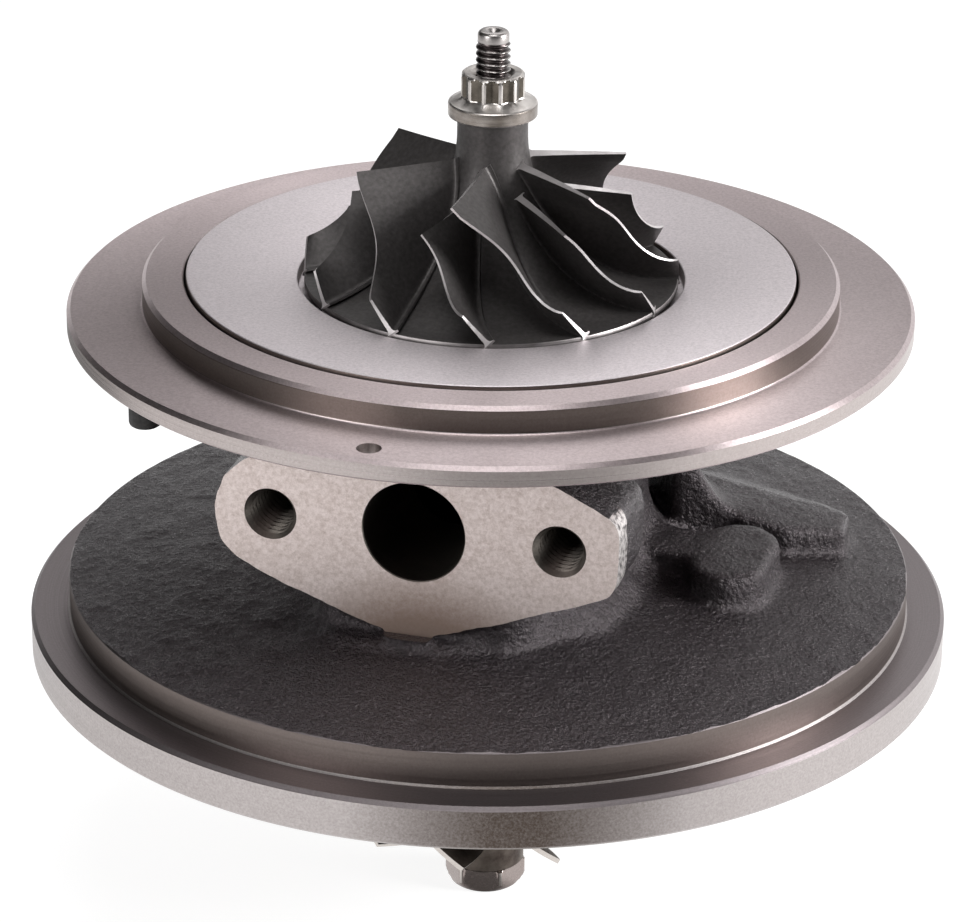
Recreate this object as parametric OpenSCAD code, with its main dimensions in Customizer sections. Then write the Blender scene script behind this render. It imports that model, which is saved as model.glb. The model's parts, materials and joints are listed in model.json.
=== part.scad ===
// Turbocharger cartridge: bearing housing, rotor and compressor backing flange.
// Z is the shaft axis with the compressor up. Z = 0 is the seat under the turbine flange,
// and the oil drain flange faces -Y. Millimetres.

/* [Bearing housing] */
// Diameter of the round turbine flange
turbine_flange_d = 141.8; // [138:0.1:150]
// Thickness of the turbine flange at its rim
turbine_flange_t = 6.8; // [6:0.1:8.5]
// Diameter of the turned step above the turbine flange
step_d = 129.8; // [124:0.1:134]
// Height of the turned step
step_h = 5.6; // [4:0.1:6.5]
// Rise of the cast cone from the step to the foot of the neck
cone_rise = 4.3; // [3:0.1:5]
// Diameter of the cast neck
neck_d = 49; // [47:0.5:52]
// Radius of the fillet at the foot of the neck
neck_fillet = 9.5; // [7:0.5:11]
// Height from the turbine seat to the top of the housing
housing_h = 53.1; // [52:0.1:57]
// Diameter of the shoulder that carries the backing flange
shoulder_d = 76; // [75:0.5:78]
// Thickness of that shoulder
shoulder_t = 6.6; // [5.5:0.1:7]

/* [Oil ports] */
// Distance of the oil drain face from the shaft axis
drain_face_y = 39.1; // [38.5:0.1:43]
// Height of the oil drain port
drain_z = 34.1; // [33:0.1:34.5]
// Diameter of the oil drain port
drain_bore_d = 15.5; // [13:0.1:17]
// Distance between the two drain bolts
drain_bolt_spacing = 44; // [42:0.5:47]
// Tapping diameter of the drain bolt holes
drain_tap_d = 6.8; // [5:0.1:7.5]
// Depth of the drain bolt holes
drain_tap_depth = 13; // [9:0.5:13.5]
// Thickness of the drain flange
drain_flange_t = 15; // [14:0.5:16]
// Height of the drain flange
drain_flange_h = 33; // [31:0.5:33.5]
// Wall outside each drain bolt hole
drain_lobe_wall = 5.4; // [4.5:0.1:6.5]
// Tapping diameter of the oil inlet
inlet_tap_d = 9; // [7:0.1:10]
// Distance of the oil inlet face from the shaft axis
inlet_face_y = 36; // [34:0.5:40]

/* [Compressor flange] */
// Diameter of the backing flange
backing_flange_d = 128; // [122:0.5:134]
// Thickness of the backing flange at its rim
backing_flange_t = 3.1; // [3:0.1:4.2]
// Wall of the raised register that centres the compressor housing, round the seal plate
register_wall = 6.2; // [4.5:0.1:8]
// Height of the register above the flange
register_h = 4.2; // [3.6:0.1:5]
// Diameter of the seal plate let into the register
seal_plate_d = 92.0; // [90:0.1:96]
// Height of the seal plate above the register
seal_plate_proud = 0.5; // [0.2:0.1:0.8]
// Radial gap round the seal plate
seal_plate_gap = 0.4; // [0.2:0.05:0.6]
// Distance of the locating hole and the dowel from the axis
locating_r = 60; // [58.5:0.1:60.5]
// Diameter of the locating hole
locating_hole_d = 3.6; // [2:0.1:5]
// Diameter of the dowel under the flange
dowel_d = 4.8; // [3:0.1:5.5]

/* [Compressor wheel] */
// Diameter of the wheel at the blade outlet
exducer_d = 56.4; // [54:0.1:57]
// Diameter of the wheel at the blade inlet
inducer_d = 41.4; // [38:0.1:44]
// Height of the blade inlet above the blade outlet at the tips
blade_rise = 13.6; // [12:0.1:15]
// Height of the blades at the outlet
outlet_h = 4.3; // [3.4:0.1:5]
// Number of full blades, with one splitter between each pair
full_blades = 6; // [5:1:7]
// Share of the blade length that a splitter leaves out
splitter_start = 0.14; // [0.1:0.01:0.3]
// Diameter of the hub nose
hub_nose_d = 10.6; // [10:0.1:12]
// Thickness of a blade at its tip
blade_tip_t = 0.55; // [0.4:0.05:0.8]
// Thickness of a blade at its root
blade_root_t = 1.3; // [0.9:0.1:1.6]
// Radial gap between the wheel and its recess
wheel_gap = 1.0; // [0.4:0.1:1.2]

/* [Turbine wheel] */
// Diameter of the turbine wheel
turbine_d = 52; // [48:0.5:56]
// Diameter of the blade outlet
turbine_exit_d = 44.6; // [41:0.1:46]
// Number of turbine blades
turbine_blades = 9; // [8:1:11]
// Distance of the wheel's back face below the turbine seat
turbine_back = 7; // [6.5:0.1:10]
// Height of the blades at the gas inlet
turbine_inlet_h = 7.5; // [6:0.1:9]
// Length of the bladed part of the wheel
turbine_blade_l = 25.5; // [23:0.5:28]
// Width of the hexagon nose across its flats
hex_flats = 11.2; // [10:0.1:12.5]
// Length of the hexagon nose
hex_l = 3.8; // [3:0.1:6]

/* [Shaft and bearings] */
// Diameter of the shaft at the journals
journal_d = 8; // [7.5:0.1:8.5]
// Diameter of the shaft under the compressor wheel
stub_d = 5.5; // [5.2:0.1:6]
// Outside diameter of the thread for the shaft nut
thread_d = 5.2; // [4.8:0.1:5.2]
// Wall of the floating journal bearings
bush_wall = 2.5; // [2:0.1:2.8]
// Length of each journal bearing
bush_l = 8; // [6.5:0.1:8.4]
// Running clearance inside the journal bearings
bush_bore_play = 0.03; // [0.01:0.01:0.08]
// Running clearance outside the journal bearings
bush_outer_play = 0.05; // [0.02:0.01:0.09]
// Thickness of the thrust bearing
thrust_t = 3; // [2.5:0.1:3.4]
// Axial play at each face of the thrust bearing
thrust_play = 0.1; // [0.05:0.01:0.2]
// Diameter of the nut's flange
nut_flange_d = 13.4; // [12.6:0.1:14.5]
// Diameter over the points of the nut's twelve-point drive
nut_points_d = 9.9; // [9:0.1:10.5]
// Height of the nut
nut_h = 6.6; // [6:0.1:8]
// Length of shaft that stands out of the nut
shaft_tip_l = 6.4; // [5:0.1:8]

/* [Hidden] */

$fn = 96;
// Overlap that makes a cut run past a face
cut = 1;
// Radial clearance of pieces that slide on the shaft
slip_fit = 0.02;
// Clearance of bolts in their holes
bolt_play = 0.2;
// Clearance of a seal ring in its groove
ring_play = 0.15;
// Bevel on turned rims
rim_bevel = 0.6;

// Levels of the housing
ledge_z = turbine_flange_t;
cone_z = ledge_z + step_h;
neck_foot_z = cone_z + cone_rise;
neck_r = neck_d / 2;
top_z = housing_h;
shoulder_z = top_z - shoulder_t;
shoulder_fillet = 3;
relief_r = [42, 60];
relief_depth = 2.5;
nose_r = 14;
nose_l = 3.5;

// Levels of the compressor flange
flange_face_z = top_z + backing_flange_t;
register_top_z = flange_face_z + register_h;
plate_top_z = register_top_z + seal_plate_proud;
// Fall of the seal plate's face from its rim to the recess for the wheel
diffuser_fall = 1.1;
recess_edge_z = plate_top_z - diffuser_fall;
// Drop of the seal plate's seat below the flange face
plate_seat_drop = 0.5;
lip_top_z = flange_face_z - plate_seat_drop;
plate_pocket_r = seal_plate_d / 2 + seal_plate_gap;
register_r = plate_pocket_r + register_wall;
// Gap between the flange's bore and the spigot that passes through it
flange_bore_play = 0.3;
// Dowel under the flange
dowel_angle = 230;
dowel_seat = 2;
dowel_l = 4.2;
dowel_bevel = 0.5;

// Seats for the bearings, from the turbine end up
journal_r = journal_d / 2;
stub_r = stub_d / 2;
bush_in_r = journal_r + bush_bore_play;
bush_out_r = bush_in_r + bush_wall;
bush_seat_r = bush_out_r + bush_outer_play;
// Walls round a bearing and beyond its retaining ring
carrier_wall = 4;
carrier_end_wall = 1.4;
carrier_r = bush_seat_r + carrier_wall;
bush_end_play = 0.2;
turbine_bush_floor_z = 10.2;
bush_oil_hole_r = 0.8;
shaft_passage_play = 1.2;
turbine_bush_z = turbine_bush_floor_z + bush_end_play;
retaining_ring_t = 1.2;
retaining_ring_wall = 1.4;
retaining_ring_bite = 0.8;
retaining_ring_gap = 4;
turbine_ring_z = turbine_bush_z + bush_l + bush_end_play;
turbine_carrier_z = turbine_ring_z + retaining_ring_t + ring_play + carrier_end_wall;
// Depth of the thrust bearing's pocket and thickness of the thrust collar's flange
pocket_depth = 11.6;
collar_flange_t = 2;
pocket_floor_z = top_z - pocket_depth;
shaft_shoulder_z = pocket_floor_z - thrust_play - collar_flange_t;
// Gap under the collar, and how far the upper bearing lies inside its carrier
collar_gap = 0.6;
bush_set_back = 0.8;
compressor_carrier_top_z = shaft_shoulder_z - collar_gap;
compressor_bush_z = compressor_carrier_top_z - bush_set_back - bush_l;
compressor_ring_z = compressor_bush_z - bush_end_play - retaining_ring_t;
compressor_carrier_z = compressor_ring_z - ring_play - carrier_end_wall;

// Thrust bearing, baffle and the seal plate's spigot above it
thrust_z = pocket_floor_z;
pocket_r = 21;
pocket_play = 0.1;
chamber_r = 18;
collar_r = 9;
spool_r = 6;
spool_gap = 0.3;
thrust_bore_r = spool_r + spool_gap;
thrust_flat_y = -12;
oil_slot_w = 1.2;
oil_slot_depth = 0.5;
pin_d = 2.5;
pin_l = 4.4;
pin_circle_r = 15;
pin_angles = [40, 140];
collar_top_z = thrust_z + thrust_t + thrust_play;
baffle_t = 0.8;
baffle_rise = 2.5;
baffle_bend_r = 14.4;
baffle_bore_play = 0.6;
baffle_spigot_gap = 0.3;
baffle_rim_z = thrust_z + thrust_t;
spigot_z = baffle_rim_z + baffle_t;
spigot_r = pocket_r - pocket_play;
spigot_bore_r = 17.2;
spigot_depth = 5.2;
web_z = spigot_z + spigot_depth;
sleeve_r = 7.4;
sleeve_flange_t = 1.8;
sleeve_bevel = 0.4;
// Radial gap between a ring carrier and the bore that its ring seals
seal_gap = 0.5;
seal_bore_r = sleeve_r + seal_gap;
seal_ring_t = 1.5;
seal_ring_wall = 1.3;
seal_ring_gap = 0.4;
groove_r = seal_bore_r - seal_ring_wall - ring_play;
ring_set_in = 1.6;
compressor_ring_seat_z = web_z + ring_set_in;

// O-rings
o_ring_d = 1.8;
o_ring_squeeze = 0.8;
o_ring_groove = o_ring_d * o_ring_squeeze;
o_ring_land = 0.6;
spigot_ring_z = web_z + o_ring_land;
flange_ring_r = 42;

// Bolts that hold the seal plate and clamp the backing flange
bolt_d = 5;
bolt_circle_r = 33;
bolt_angles = [-15, 60, 120, 195];
bolt_head_flats = 8;
bolt_head_h = 3.5;
bolt_tip_gap = 0.8;
bolt_tip_z = recess_edge_z - bolt_tip_gap;

// Compressor wheel levels, from the wheel's back face
wheel_recess_r = exducer_d / 2 + wheel_gap;
wheel_floor_rise = 2.1;
wheel_back_gap = 0.6;
wheel_back_r = 12;
disc_taper = 0.5;
disc_rim_t = 1.0;
wheel_floor_z = lip_top_z + wheel_floor_rise;
wheel_back_z = wheel_floor_z + wheel_back_gap;
disc_rim_z = wheel_back_z + disc_taper;
outlet_z = disc_rim_z + disc_rim_t;
blade_exit_z = outlet_z + outlet_h;
blade_inlet_z = blade_exit_z + blade_rise;
hub_curve_rise = 5;
hub_nose_rise = 7.7;
hub_curve_z = blade_inlet_z + hub_curve_rise;
wheel_top_z = blade_inlet_z + hub_nose_rise;
inlet_hub_lead = 1;

// Blade wrap in degrees: a steady part and a part near the inlet
wrap_steady = 17;
wrap_inlet = 21.3;
wrap_inlet_power = 7.9;
shroud_r_power = 1.25;
shroud_z_power = 0.69;
lean_inlet = 2.9;
lean_outlet = 7.7;
first_blade = 149.6;
root_sink = 0.08;
// Run of a blade's middle surface past its ends, which only gives its slope there
edge_run = 8;
stream_steps = 12;
span_steps = 3;

// Turbine wheel levels, downwards from the seat
turbine_disc_t = 1;
turbine_hub_z = -turbine_back - turbine_disc_t;
turbine_exit_z = turbine_hub_z - turbine_blade_l;
turbine_hub_r = 6.1;
turbine_wrap = 48;
turbine_first_blade = 1.1;
// How far the outlet edge ends higher at the tip than at the hub
turbine_exit_rake = 3.1;
turbine_wrap_power = 2.2;
turbine_root_t = 1.6;
turbine_tip_t = 0.8;
turbine_root_sink = 0.07;
turbine_disc_r = 20;
hex_collar_l = 6.4;
hex_turn = 9.2;
hex_bevel = 0.3;
hex_bevel_slope = 0.8;
hex_z = turbine_exit_z - hex_collar_l - hex_l;
ring_carrier_r = 8;
ring_carrier_z = 5.8;
ring_carrier_foot = 1.5;
// Space between the end of the ring carrier and the step in the housing's bore
carrier_end_gap = 0.7;
turbine_seal_bore_r = ring_carrier_r + seal_gap;
turbine_groove_r = turbine_seal_bore_r - seal_ring_wall - ring_play;
turbine_ring_seat_z = ring_set_in;

// Shaft end
nut_top_z = wheel_top_z + nut_h;
tip_z = nut_top_z + shaft_tip_l;
plain_tip_l = 2.2;
shaft_bevel = 0.4;
thread_start = 0.5;
thread_relief = 0.25;
centre_r = 1.1;
centre_depth = 1;
nut_flange_h = 2.1;
nut_cone_h = 0.9;
nut_cone_inset = 0.4;
nut_drive_inset = 0.3;
nut_mouth = 0.8;

// Heat shield
shield_t = 0.8;
shield_rim_r = 36;
shield_dish_r = 30;
shield_bore_r = 11;
shield_depth = 5;
shield_slope = 2;

// Places of the oblong cast boss, the cast pad and the web behind it, on the right of the housing
boss_ends = [[39.6, -6.9], [39.6, 1.8]];
boss_r = 6.6;
boss_h = 5;
boss_rib_r = 6;
pad_outer = [[44.4, 11.1], [51.9, 15.8], [51.3, 22]];
pad_outer_h = 4;
pad_inner = [[28, 11], [26, 20]];
pad_inner_h = 5;
pad_back = [[44, 32], [28, 36]];
pad_back_h = 0.3;
pad_corner_r = 1;
web_ends = [[24.5, 10], [22, 15]];
web_r = 7;

// Column behind the drain flange, square end of the flange's right lobe, and the oil inlet
column_x = [-11, 12];
column_foot_r = 6;
column_top_r = 4;
column_set_back = 7;
column_back_y = 8;
column_drop = 2;
lobe_square_h = 10;
drain_end_wall = 2;
inlet_wall = 4;
inlet_depth = 11;
oil_way_r = 1.4;

// Height of the cast cone at a distance r from the axis
function cone_height(r) = cone_z + cone_rise * (step_d / 2 - r) / (step_d / 2 - neck_r - neck_fillet);

// Point at radius r, angle a and height z
function polar(r, a, z) = [r * cos(a), r * sin(a), z];

// A ring of rectangular section
module ring(inner_r, outer_r, z, h) {
  translate([0, 0, z])
    difference() {
      cylinder(r = outer_r, h = h);
      translate([0, 0, -cut]) cylinder(r = inner_r, h = h + 2 * cut);
    }
}

// A cylinder that lies along -Y, from the face at distance y towards the axis
module along_y(r, y, z, depth) {
  translate([0, -y, z]) rotate([-90, 0, 0]) cylinder(r = r, h = depth);
}

// The same solid at each bolt's place
module at_bolts(z) {
  for (a = bolt_angles)
    translate(polar(bolt_circle_r, a, z)) children();
}

// A closed blade between two grids of points, indexed by stream step and span step
module blade_between(left, right) {
  streams = len(left);
  spans = len(left[0]);
  points = concat([for (row = left) for (p = row) p], [for (row = right) for (p = row) p]);
  half = streams * spans;
  function at(i, j) = i * spans + j;
  sides = [for (i = [0 : streams - 2]) for (j = [0 : spans - 2])
    each [[at(i, j), at(i + 1, j), at(i + 1, j + 1)], [at(i, j), at(i + 1, j + 1), at(i, j + 1)]]];
  back = [for (f = sides) [f[2] + half, f[1] + half, f[0] + half]];
  rim = concat([for (i = [0 : streams - 2]) [at(i + 1, 0), at(i, 0)]],
    [for (j = [0 : spans - 2]) [at(0, j), at(0, j + 1)]],
    [for (i = [0 : streams - 2]) [at(i, spans - 1), at(i + 1, spans - 1)]],
    [for (j = [0 : spans - 2]) [at(streams - 1, j + 1), at(streams - 1, j)]]);
  edges = [for (e = rim) each [[e[0], e[1], e[1] + half], [e[0], e[1] + half, e[0] + half]]];
  polyhedron(points = points, faces = concat(sides, back, edges), convexity = 6);
}

// A point on a blade's middle surface moved half its thickness to one side
function offset_point(camber, s, t, half_t) =
  let (d = 0.01,
    along = camber(s + d, t) - camber(s - d, t),
    across = camber(s, t + d) - camber(s, t - d),
    n = cross(along, across))
  camber(s, t) + n / norm(n) * half_t;

function blade_grid(camber, first, sink, root_t, tip_t, side) =
  [for (i = [0 : stream_steps])
    [for (j = [0 : span_steps])
      let (s = first + (1 - first) * i / stream_steps,
        t = -sink + (1 + sink) * j / span_steps)
      offset_point(camber, s, t, side * (root_t + (tip_t - root_t) * t) / 2)]];

// Compressor hub curve, from the nose at 0 to the rim of the disc at 90
function hub_r(a) = hub_nose_d / 2 + (exducer_d - hub_nose_d) / 2 * (1 - cos(a));
function hub_z(a) = hub_curve_z - (hub_curve_z - outlet_z) * sin(a);
hub_inlet_a = asin((hub_curve_z - blade_inlet_z - inlet_hub_lead) / (hub_curve_z - outlet_z));

// Middle surface of a compressor blade: s runs from inlet to outlet, t from hub to tip
compressor_camber = function (s, t)
  let (e = min(max(s, 0), 1),
    past = (s - e) * edge_run,
    a = hub_inlet_a + (90 - hub_inlet_a) * e,
    tip_r = exducer_d / 2 - (exducer_d - inducer_d) / 2 * pow(cos(90 * e), shroud_r_power),
    tip_z = blade_inlet_z - blade_rise * pow(sin(90 * e), shroud_z_power),
    r = hub_r(a) + (tip_r - hub_r(a)) * t + past,
    z = hub_z(a) + (tip_z - hub_z(a)) * t,
    wrap = wrap_steady * s + wrap_inlet * (1 - pow(1 - e, wrap_inlet_power)),
    lean = (lean_inlet + (lean_outlet - lean_inlet) * e) * (1 - t))
  polar(r, first_blade + wrap + lean, z);

// Turbine hub and shroud curves and blade surface, from the gas inlet to the outlet
function turbine_hub_at(s) =
  [turbine_hub_r + (turbine_d / 2 - turbine_hub_r) * (1 - sin(90 * s)),
    turbine_hub_z - turbine_blade_l * (1 - cos(90 * s))];
function turbine_tip_at(s) =
  [turbine_exit_d / 2 + (turbine_d - turbine_exit_d) / 2 * (1 - sin(90 * s)),
    turbine_hub_z - turbine_inlet_h
      - (turbine_blade_l - turbine_exit_rake - turbine_inlet_h) * (1 - cos(90 * s))];
turbine_camber = function (s, t)
  let (e = min(max(s, 0), 1),
    past = (s - e) * edge_run,
    p = turbine_hub_at(e) + (turbine_tip_at(e) - turbine_hub_at(e)) * t - [0, past],
    turn = turbine_wrap * pow(max(turbine_hub_z - p[1], 0) / turbine_blade_l, turbine_wrap_power))
  polar(p[0] - min(past, 0), turbine_first_blade + turn, p[1]);

// Outline of the oil drain flange, looking at its face
module drain_outline() {
  lobe_r = drain_tap_d / 2 + drain_lobe_wall;
  half = drain_bolt_spacing / 2;
  union() {
    hull() {
      for (x = [-half, half])
        translate([x, 0]) circle(r = lobe_r, $fn = 32);
      intersection() {
        circle(r = drain_flange_h / 2, $fn = 64);
        square([drain_bore_d, drain_flange_h + cut], center = true);
      }
    }
    translate([half, -lobe_square_h / 2]) square([lobe_r, lobe_square_h]);
  }
}

// A cast post from the cone's edge up to a height above the cone at its own place
module cone_post(at, r, h) {
  translate([at[0], at[1], cone_z]) cylinder(r = r, h = cone_height(norm(at)) + h - cone_z, $fn = 32);
}

// The casting before it is bored
module housing_casting() {
  foot_r = neck_r + neck_fillet;
  rotate_extrude()
    polygon(concat(
      [[0, -nose_l], [nose_r, -nose_l], [nose_r, 0], [relief_r[0], 0], [relief_r[0], relief_depth],
        [relief_r[1], relief_depth], [relief_r[1], 0], [turbine_flange_d / 2, 0],
        [turbine_flange_d / 2, ledge_z - rim_bevel], [turbine_flange_d / 2 - rim_bevel, ledge_z],
        [step_d / 2, ledge_z], [step_d / 2, cone_z]],
      [for (a = [0 : 15 : 90])
        [foot_r - neck_fillet * sin(a), neck_foot_z + neck_fillet * (1 - cos(a))]],
      [for (a = [0 : 30 : 90])
        [neck_r + shoulder_fillet * (1 - cos(a)), shoulder_z - shoulder_fillet * (1 - sin(a))]],
      [[shoulder_d / 2, shoulder_z], [shoulder_d / 2, top_z], [0, top_z]]));
  // Oil drain flange and the column that joins it to the neck
  translate([0, -drain_face_y + drain_flange_t, drain_z])
    rotate([90, 0, 0]) linear_extrude(drain_flange_t) drain_outline();
  column_h = shoulder_z - column_drop - cone_z;
  hull() {
    for (x = column_x) {
      translate([x, -drain_face_y + column_set_back, cone_z])
        cylinder(r1 = column_foot_r, r2 = column_top_r, h = column_h, $fn = 32);
      translate([x, -column_back_y, cone_z]) cylinder(r = column_top_r, h = column_h, $fn = 32);
    }
  }
  // Oil inlet boss
  translate([0, inlet_face_y, drain_z])
    rotate([90, 0, 0]) cylinder(r = inlet_tap_d / 2 + inlet_wall, h = inlet_face_y);
  // Cast boss on the right, with the rib that joins it to the neck
  hull() {
    for (p = boss_ends)
      cone_post(p, boss_r, boss_h);
    translate([neck_r, 0, cone_z])
      cylinder(r = boss_rib_r, h = cone_height(norm(boss_ends[0])) + boss_h - cone_z, $fn = 32);
  }
  // Cast pad that runs out from the neck behind the boss
  hull() {
    for (p = pad_outer)
      cone_post(p, pad_corner_r, pad_outer_h);
    for (p = pad_inner)
      cone_post(p, pad_corner_r, pad_inner_h);
    for (p = pad_back)
      cone_post(p, pad_corner_r, pad_back_h);
  }
  // Web from the pad up to the shoulder
  hull() {
    for (p = web_ends)
      translate([p[0], p[1], cone_z]) cylinder(r = web_r, h = shoulder_z - cone_z, $fn = 32);
  }
}

// Everything that is bored out of the casting
module housing_bores() {
  // Seal bore, shaft passage and the bearing seat with its two ring grooves
  translate([0, 0, -nose_l - cut])
    cylinder(r = turbine_seal_bore_r, h = nose_l + cut + ring_carrier_z + carrier_end_gap);
  cylinder(r = journal_r + shaft_passage_play, h = turbine_bush_floor_z + cut);
  translate([0, 0, turbine_bush_floor_z]) cylinder(r = bush_seat_r, h = top_z - turbine_bush_floor_z);
  for (z = [turbine_ring_z, compressor_ring_z])
    translate([0, 0, z - ring_play])
      cylinder(r = bush_seat_r + retaining_ring_bite, h = retaining_ring_t + 2 * ring_play);
  // Oil chamber: open between the bearings, and on the drain side of the upper one
  translate([0, 0, turbine_carrier_z]) cylinder(r = chamber_r, h = compressor_carrier_z - turbine_carrier_z);
  difference() {
    translate([0, 0, turbine_carrier_z]) cylinder(r = chamber_r, h = pocket_floor_z - turbine_carrier_z);
    translate([0, 0, turbine_carrier_z - cut]) cylinder(r = carrier_r, h = pocket_floor_z);
    translate([-2 * chamber_r, 0, 0]) cube([4 * chamber_r, 4 * chamber_r, top_z]);
  }
  translate([0, 0, compressor_carrier_top_z]) cylinder(r = chamber_r, h = top_z - compressor_carrier_top_z);
  // Pocket for the thrust bearing and the seal plate's spigot
  translate([0, 0, pocket_floor_z]) cylinder(r = pocket_r, h = top_z - pocket_floor_z + cut);
  for (a = pin_angles)
    translate(polar(pin_circle_r, a, pocket_floor_z - pin_l / 2)) cylinder(d = pin_d, h = pin_l, $fn = 32);
  // Oil drain, its bolt holes, the oil inlet and the drilled ways to both bearings
  along_y(drain_bore_d / 2, drain_face_y + cut, drain_z, drain_face_y - carrier_r - drain_end_wall + cut);
  for (x = [-1, 1] * drain_bolt_spacing / 2)
    translate([x, 0, 0]) along_y(drain_tap_d / 2, drain_face_y + cut, drain_z, drain_tap_depth + cut);
  translate([0, inlet_face_y, drain_z])
    rotate([90, 0, 0]) {
      translate([0, 0, -cut]) cylinder(d = inlet_tap_d, h = inlet_depth + cut);
      cylinder(r = oil_way_r, h = inlet_face_y - journal_r);
    }
  oil_rise = drain_z - turbine_bush_z - bush_l / 2;
  oil_run = inlet_face_y - inlet_depth;
  translate([0, 0, turbine_bush_z + bush_l / 2])
    rotate([-atan2(oil_run, oil_rise), 0, 0])
      cylinder(r = oil_way_r, h = norm([oil_run, oil_rise]), $fn = 32);
  at_bolts(shoulder_z - cut) cylinder(d = bolt_d + 2 * bolt_play, h = shoulder_t + 2 * cut);
}

module bearing_housing() {
  color("#2b2624")
    difference() {
      housing_casting();
      housing_bores();
    }
}

module backing_flange() {
  bore_r = pocket_r + flange_bore_play;
  rim_r = backing_flange_d / 2;
  groove_in_r = flange_ring_r - o_ring_d / 2;
  groove_out_r = flange_ring_r + o_ring_d / 2;
  groove_z = lip_top_z - o_ring_groove;
  through = backing_flange_t + 2 * cut;
  color("#b8b2ac")
    difference() {
      rotate_extrude()
        polygon([[bore_r, top_z], [rim_r, top_z], [rim_r, flange_face_z - rim_bevel],
          [rim_r - rim_bevel, flange_face_z], [register_r, flange_face_z],
          [register_r, register_top_z - rim_bevel], [register_r - rim_bevel, register_top_z],
          [plate_pocket_r, register_top_z], [plate_pocket_r, lip_top_z], [groove_out_r, lip_top_z],
          [groove_out_r, groove_z], [groove_in_r, groove_z], [groove_in_r, lip_top_z], [bore_r, lip_top_z]]);
      at_bolts(top_z - cut) cylinder(d = bolt_d + 2 * bolt_play, h = through);
      translate([0, -locating_r, top_z - cut]) cylinder(d = locating_hole_d, h = through);
      translate(polar(locating_r, dowel_angle, top_z - cut))
        cylinder(d = dowel_d + 2 * slip_fit, h = dowel_seat + cut);
    }
}

module seal_plate() {
  rim_r = seal_plate_d / 2;
  edge = rim_bevel / 2;
  ring_floor_r = spigot_r - o_ring_groove;
  bolt_hole_h = bolt_tip_z - lip_top_z + slip_fit;
  color("#bcb6b1")
    difference() {
      rotate_extrude()
        polygon([[seal_bore_r, web_z], [spigot_bore_r, web_z], [spigot_bore_r, spigot_z],
          [spigot_r, spigot_z], [spigot_r, spigot_ring_z], [ring_floor_r, spigot_ring_z],
          [ring_floor_r, spigot_ring_z + o_ring_d], [spigot_r, spigot_ring_z + o_ring_d],
          [spigot_r, lip_top_z], [rim_r, lip_top_z], [rim_r, plate_top_z - edge], [rim_r - edge, plate_top_z],
          [wheel_recess_r, recess_edge_z], [wheel_recess_r, wheel_floor_z], [seal_bore_r, wheel_floor_z]]);
      at_bolts(lip_top_z - cut) cylinder(d = bolt_d + 2 * slip_fit, h = bolt_hole_h + cut, $fn = 48);
    }
}

// An O-ring lying squeezed in its groove
module o_ring(r, z) {
  translate([0, 0, z]) rotate_extrude() translate([r, 0]) circle(d = o_ring_groove, $fn = 24);
}

module seal_plate_o_ring() {
  color("#161616") o_ring(spigot_r - o_ring_groove / 2, spigot_ring_z + o_ring_d / 2);
}

module flange_o_ring() {
  color("#161616") o_ring(flange_ring_r, lip_top_z - o_ring_groove / 2);
}

module seal_plate_bolts() {
  color("#8f8f92")
    at_bolts(shoulder_z) {
      translate([0, 0, -bolt_head_h]) cylinder(d = bolt_head_flats / cos(30), h = bolt_head_h, $fn = 6);
      cylinder(d = bolt_d, h = bolt_tip_z - shoulder_z, $fn = 48);
    }
}

module flange_dowel() {
  color("#1d1b1b")
    translate(polar(locating_r, dowel_angle, top_z)) {
      translate([0, 0, -dowel_l]) cylinder(d1 = dowel_d - 2 * dowel_bevel, d2 = dowel_d, h = dowel_bevel);
      translate([0, 0, dowel_bevel - dowel_l]) cylinder(d = dowel_d, h = dowel_l + dowel_seat - dowel_bevel);
    }
}

module thrust_bearing() {
  color("#b08a4a")
    difference() {
      ring(thrust_bore_r, pocket_r - pocket_play, thrust_z, thrust_t);
      translate([-pocket_r, -2 * pocket_r, thrust_z - cut])
        cube([2 * pocket_r, 2 * pocket_r + thrust_flat_y, thrust_t + 2 * cut]);
      for (a = [0 : 60 : 300])
        rotate([0, 0, a])
          translate([thrust_bore_r - cut, -oil_slot_w / 2, thrust_z + thrust_t - oil_slot_depth])
            cube([collar_r - thrust_bore_r + cut, oil_slot_w, oil_slot_depth + cut]);
      for (a = pin_angles)
        translate(polar(pin_circle_r, a, thrust_z - cut)) cylinder(d = pin_d, h = pin_l / 2 + cut, $fn = 32);
    }
}

module thrust_bearing_pins() {
  color("#9a9a9c")
    for (a = pin_angles)
      translate(polar(pin_circle_r, a, pocket_floor_z - pin_l / 2)) cylinder(d = pin_d, h = pin_l, $fn = 32);
}

module oil_baffle() {
  bore_r = sleeve_r + baffle_bore_play;
  dish_z = baffle_rim_z + baffle_rise;
  foot_r = spigot_bore_r - baffle_spigot_gap;
  color("#a9a9a6")
    rotate_extrude()
      polygon([[bore_r, dish_z], [baffle_bend_r, dish_z], [foot_r - baffle_t / 2, baffle_rim_z],
        [spigot_r, baffle_rim_z], [spigot_r, spigot_z], [foot_r, spigot_z],
        [baffle_bend_r + baffle_t / 2, dish_z + baffle_t], [bore_r, dish_z + baffle_t]]);
}

// A split ring: the gap faces -Y
module split_ring(inner_r, outer_r, z, h, gap) {
  difference() {
    ring(inner_r, outer_r, z, h);
    translate([-gap / 2, -outer_r - cut, z - cut]) cube([gap, outer_r, h + 2 * cut]);
  }
}

// A split seal ring that springs out against a bore
module seal_ring(bore_r, z) {
  color("#5c5c60") split_ring(bore_r - seal_ring_wall, bore_r, z, seal_ring_t, seal_ring_gap);
}

module compressor_seal_ring() {
  seal_ring(seal_bore_r, compressor_ring_seat_z);
}

module turbine_seal_ring() {
  seal_ring(turbine_seal_bore_r, turbine_ring_seat_z);
}

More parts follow.
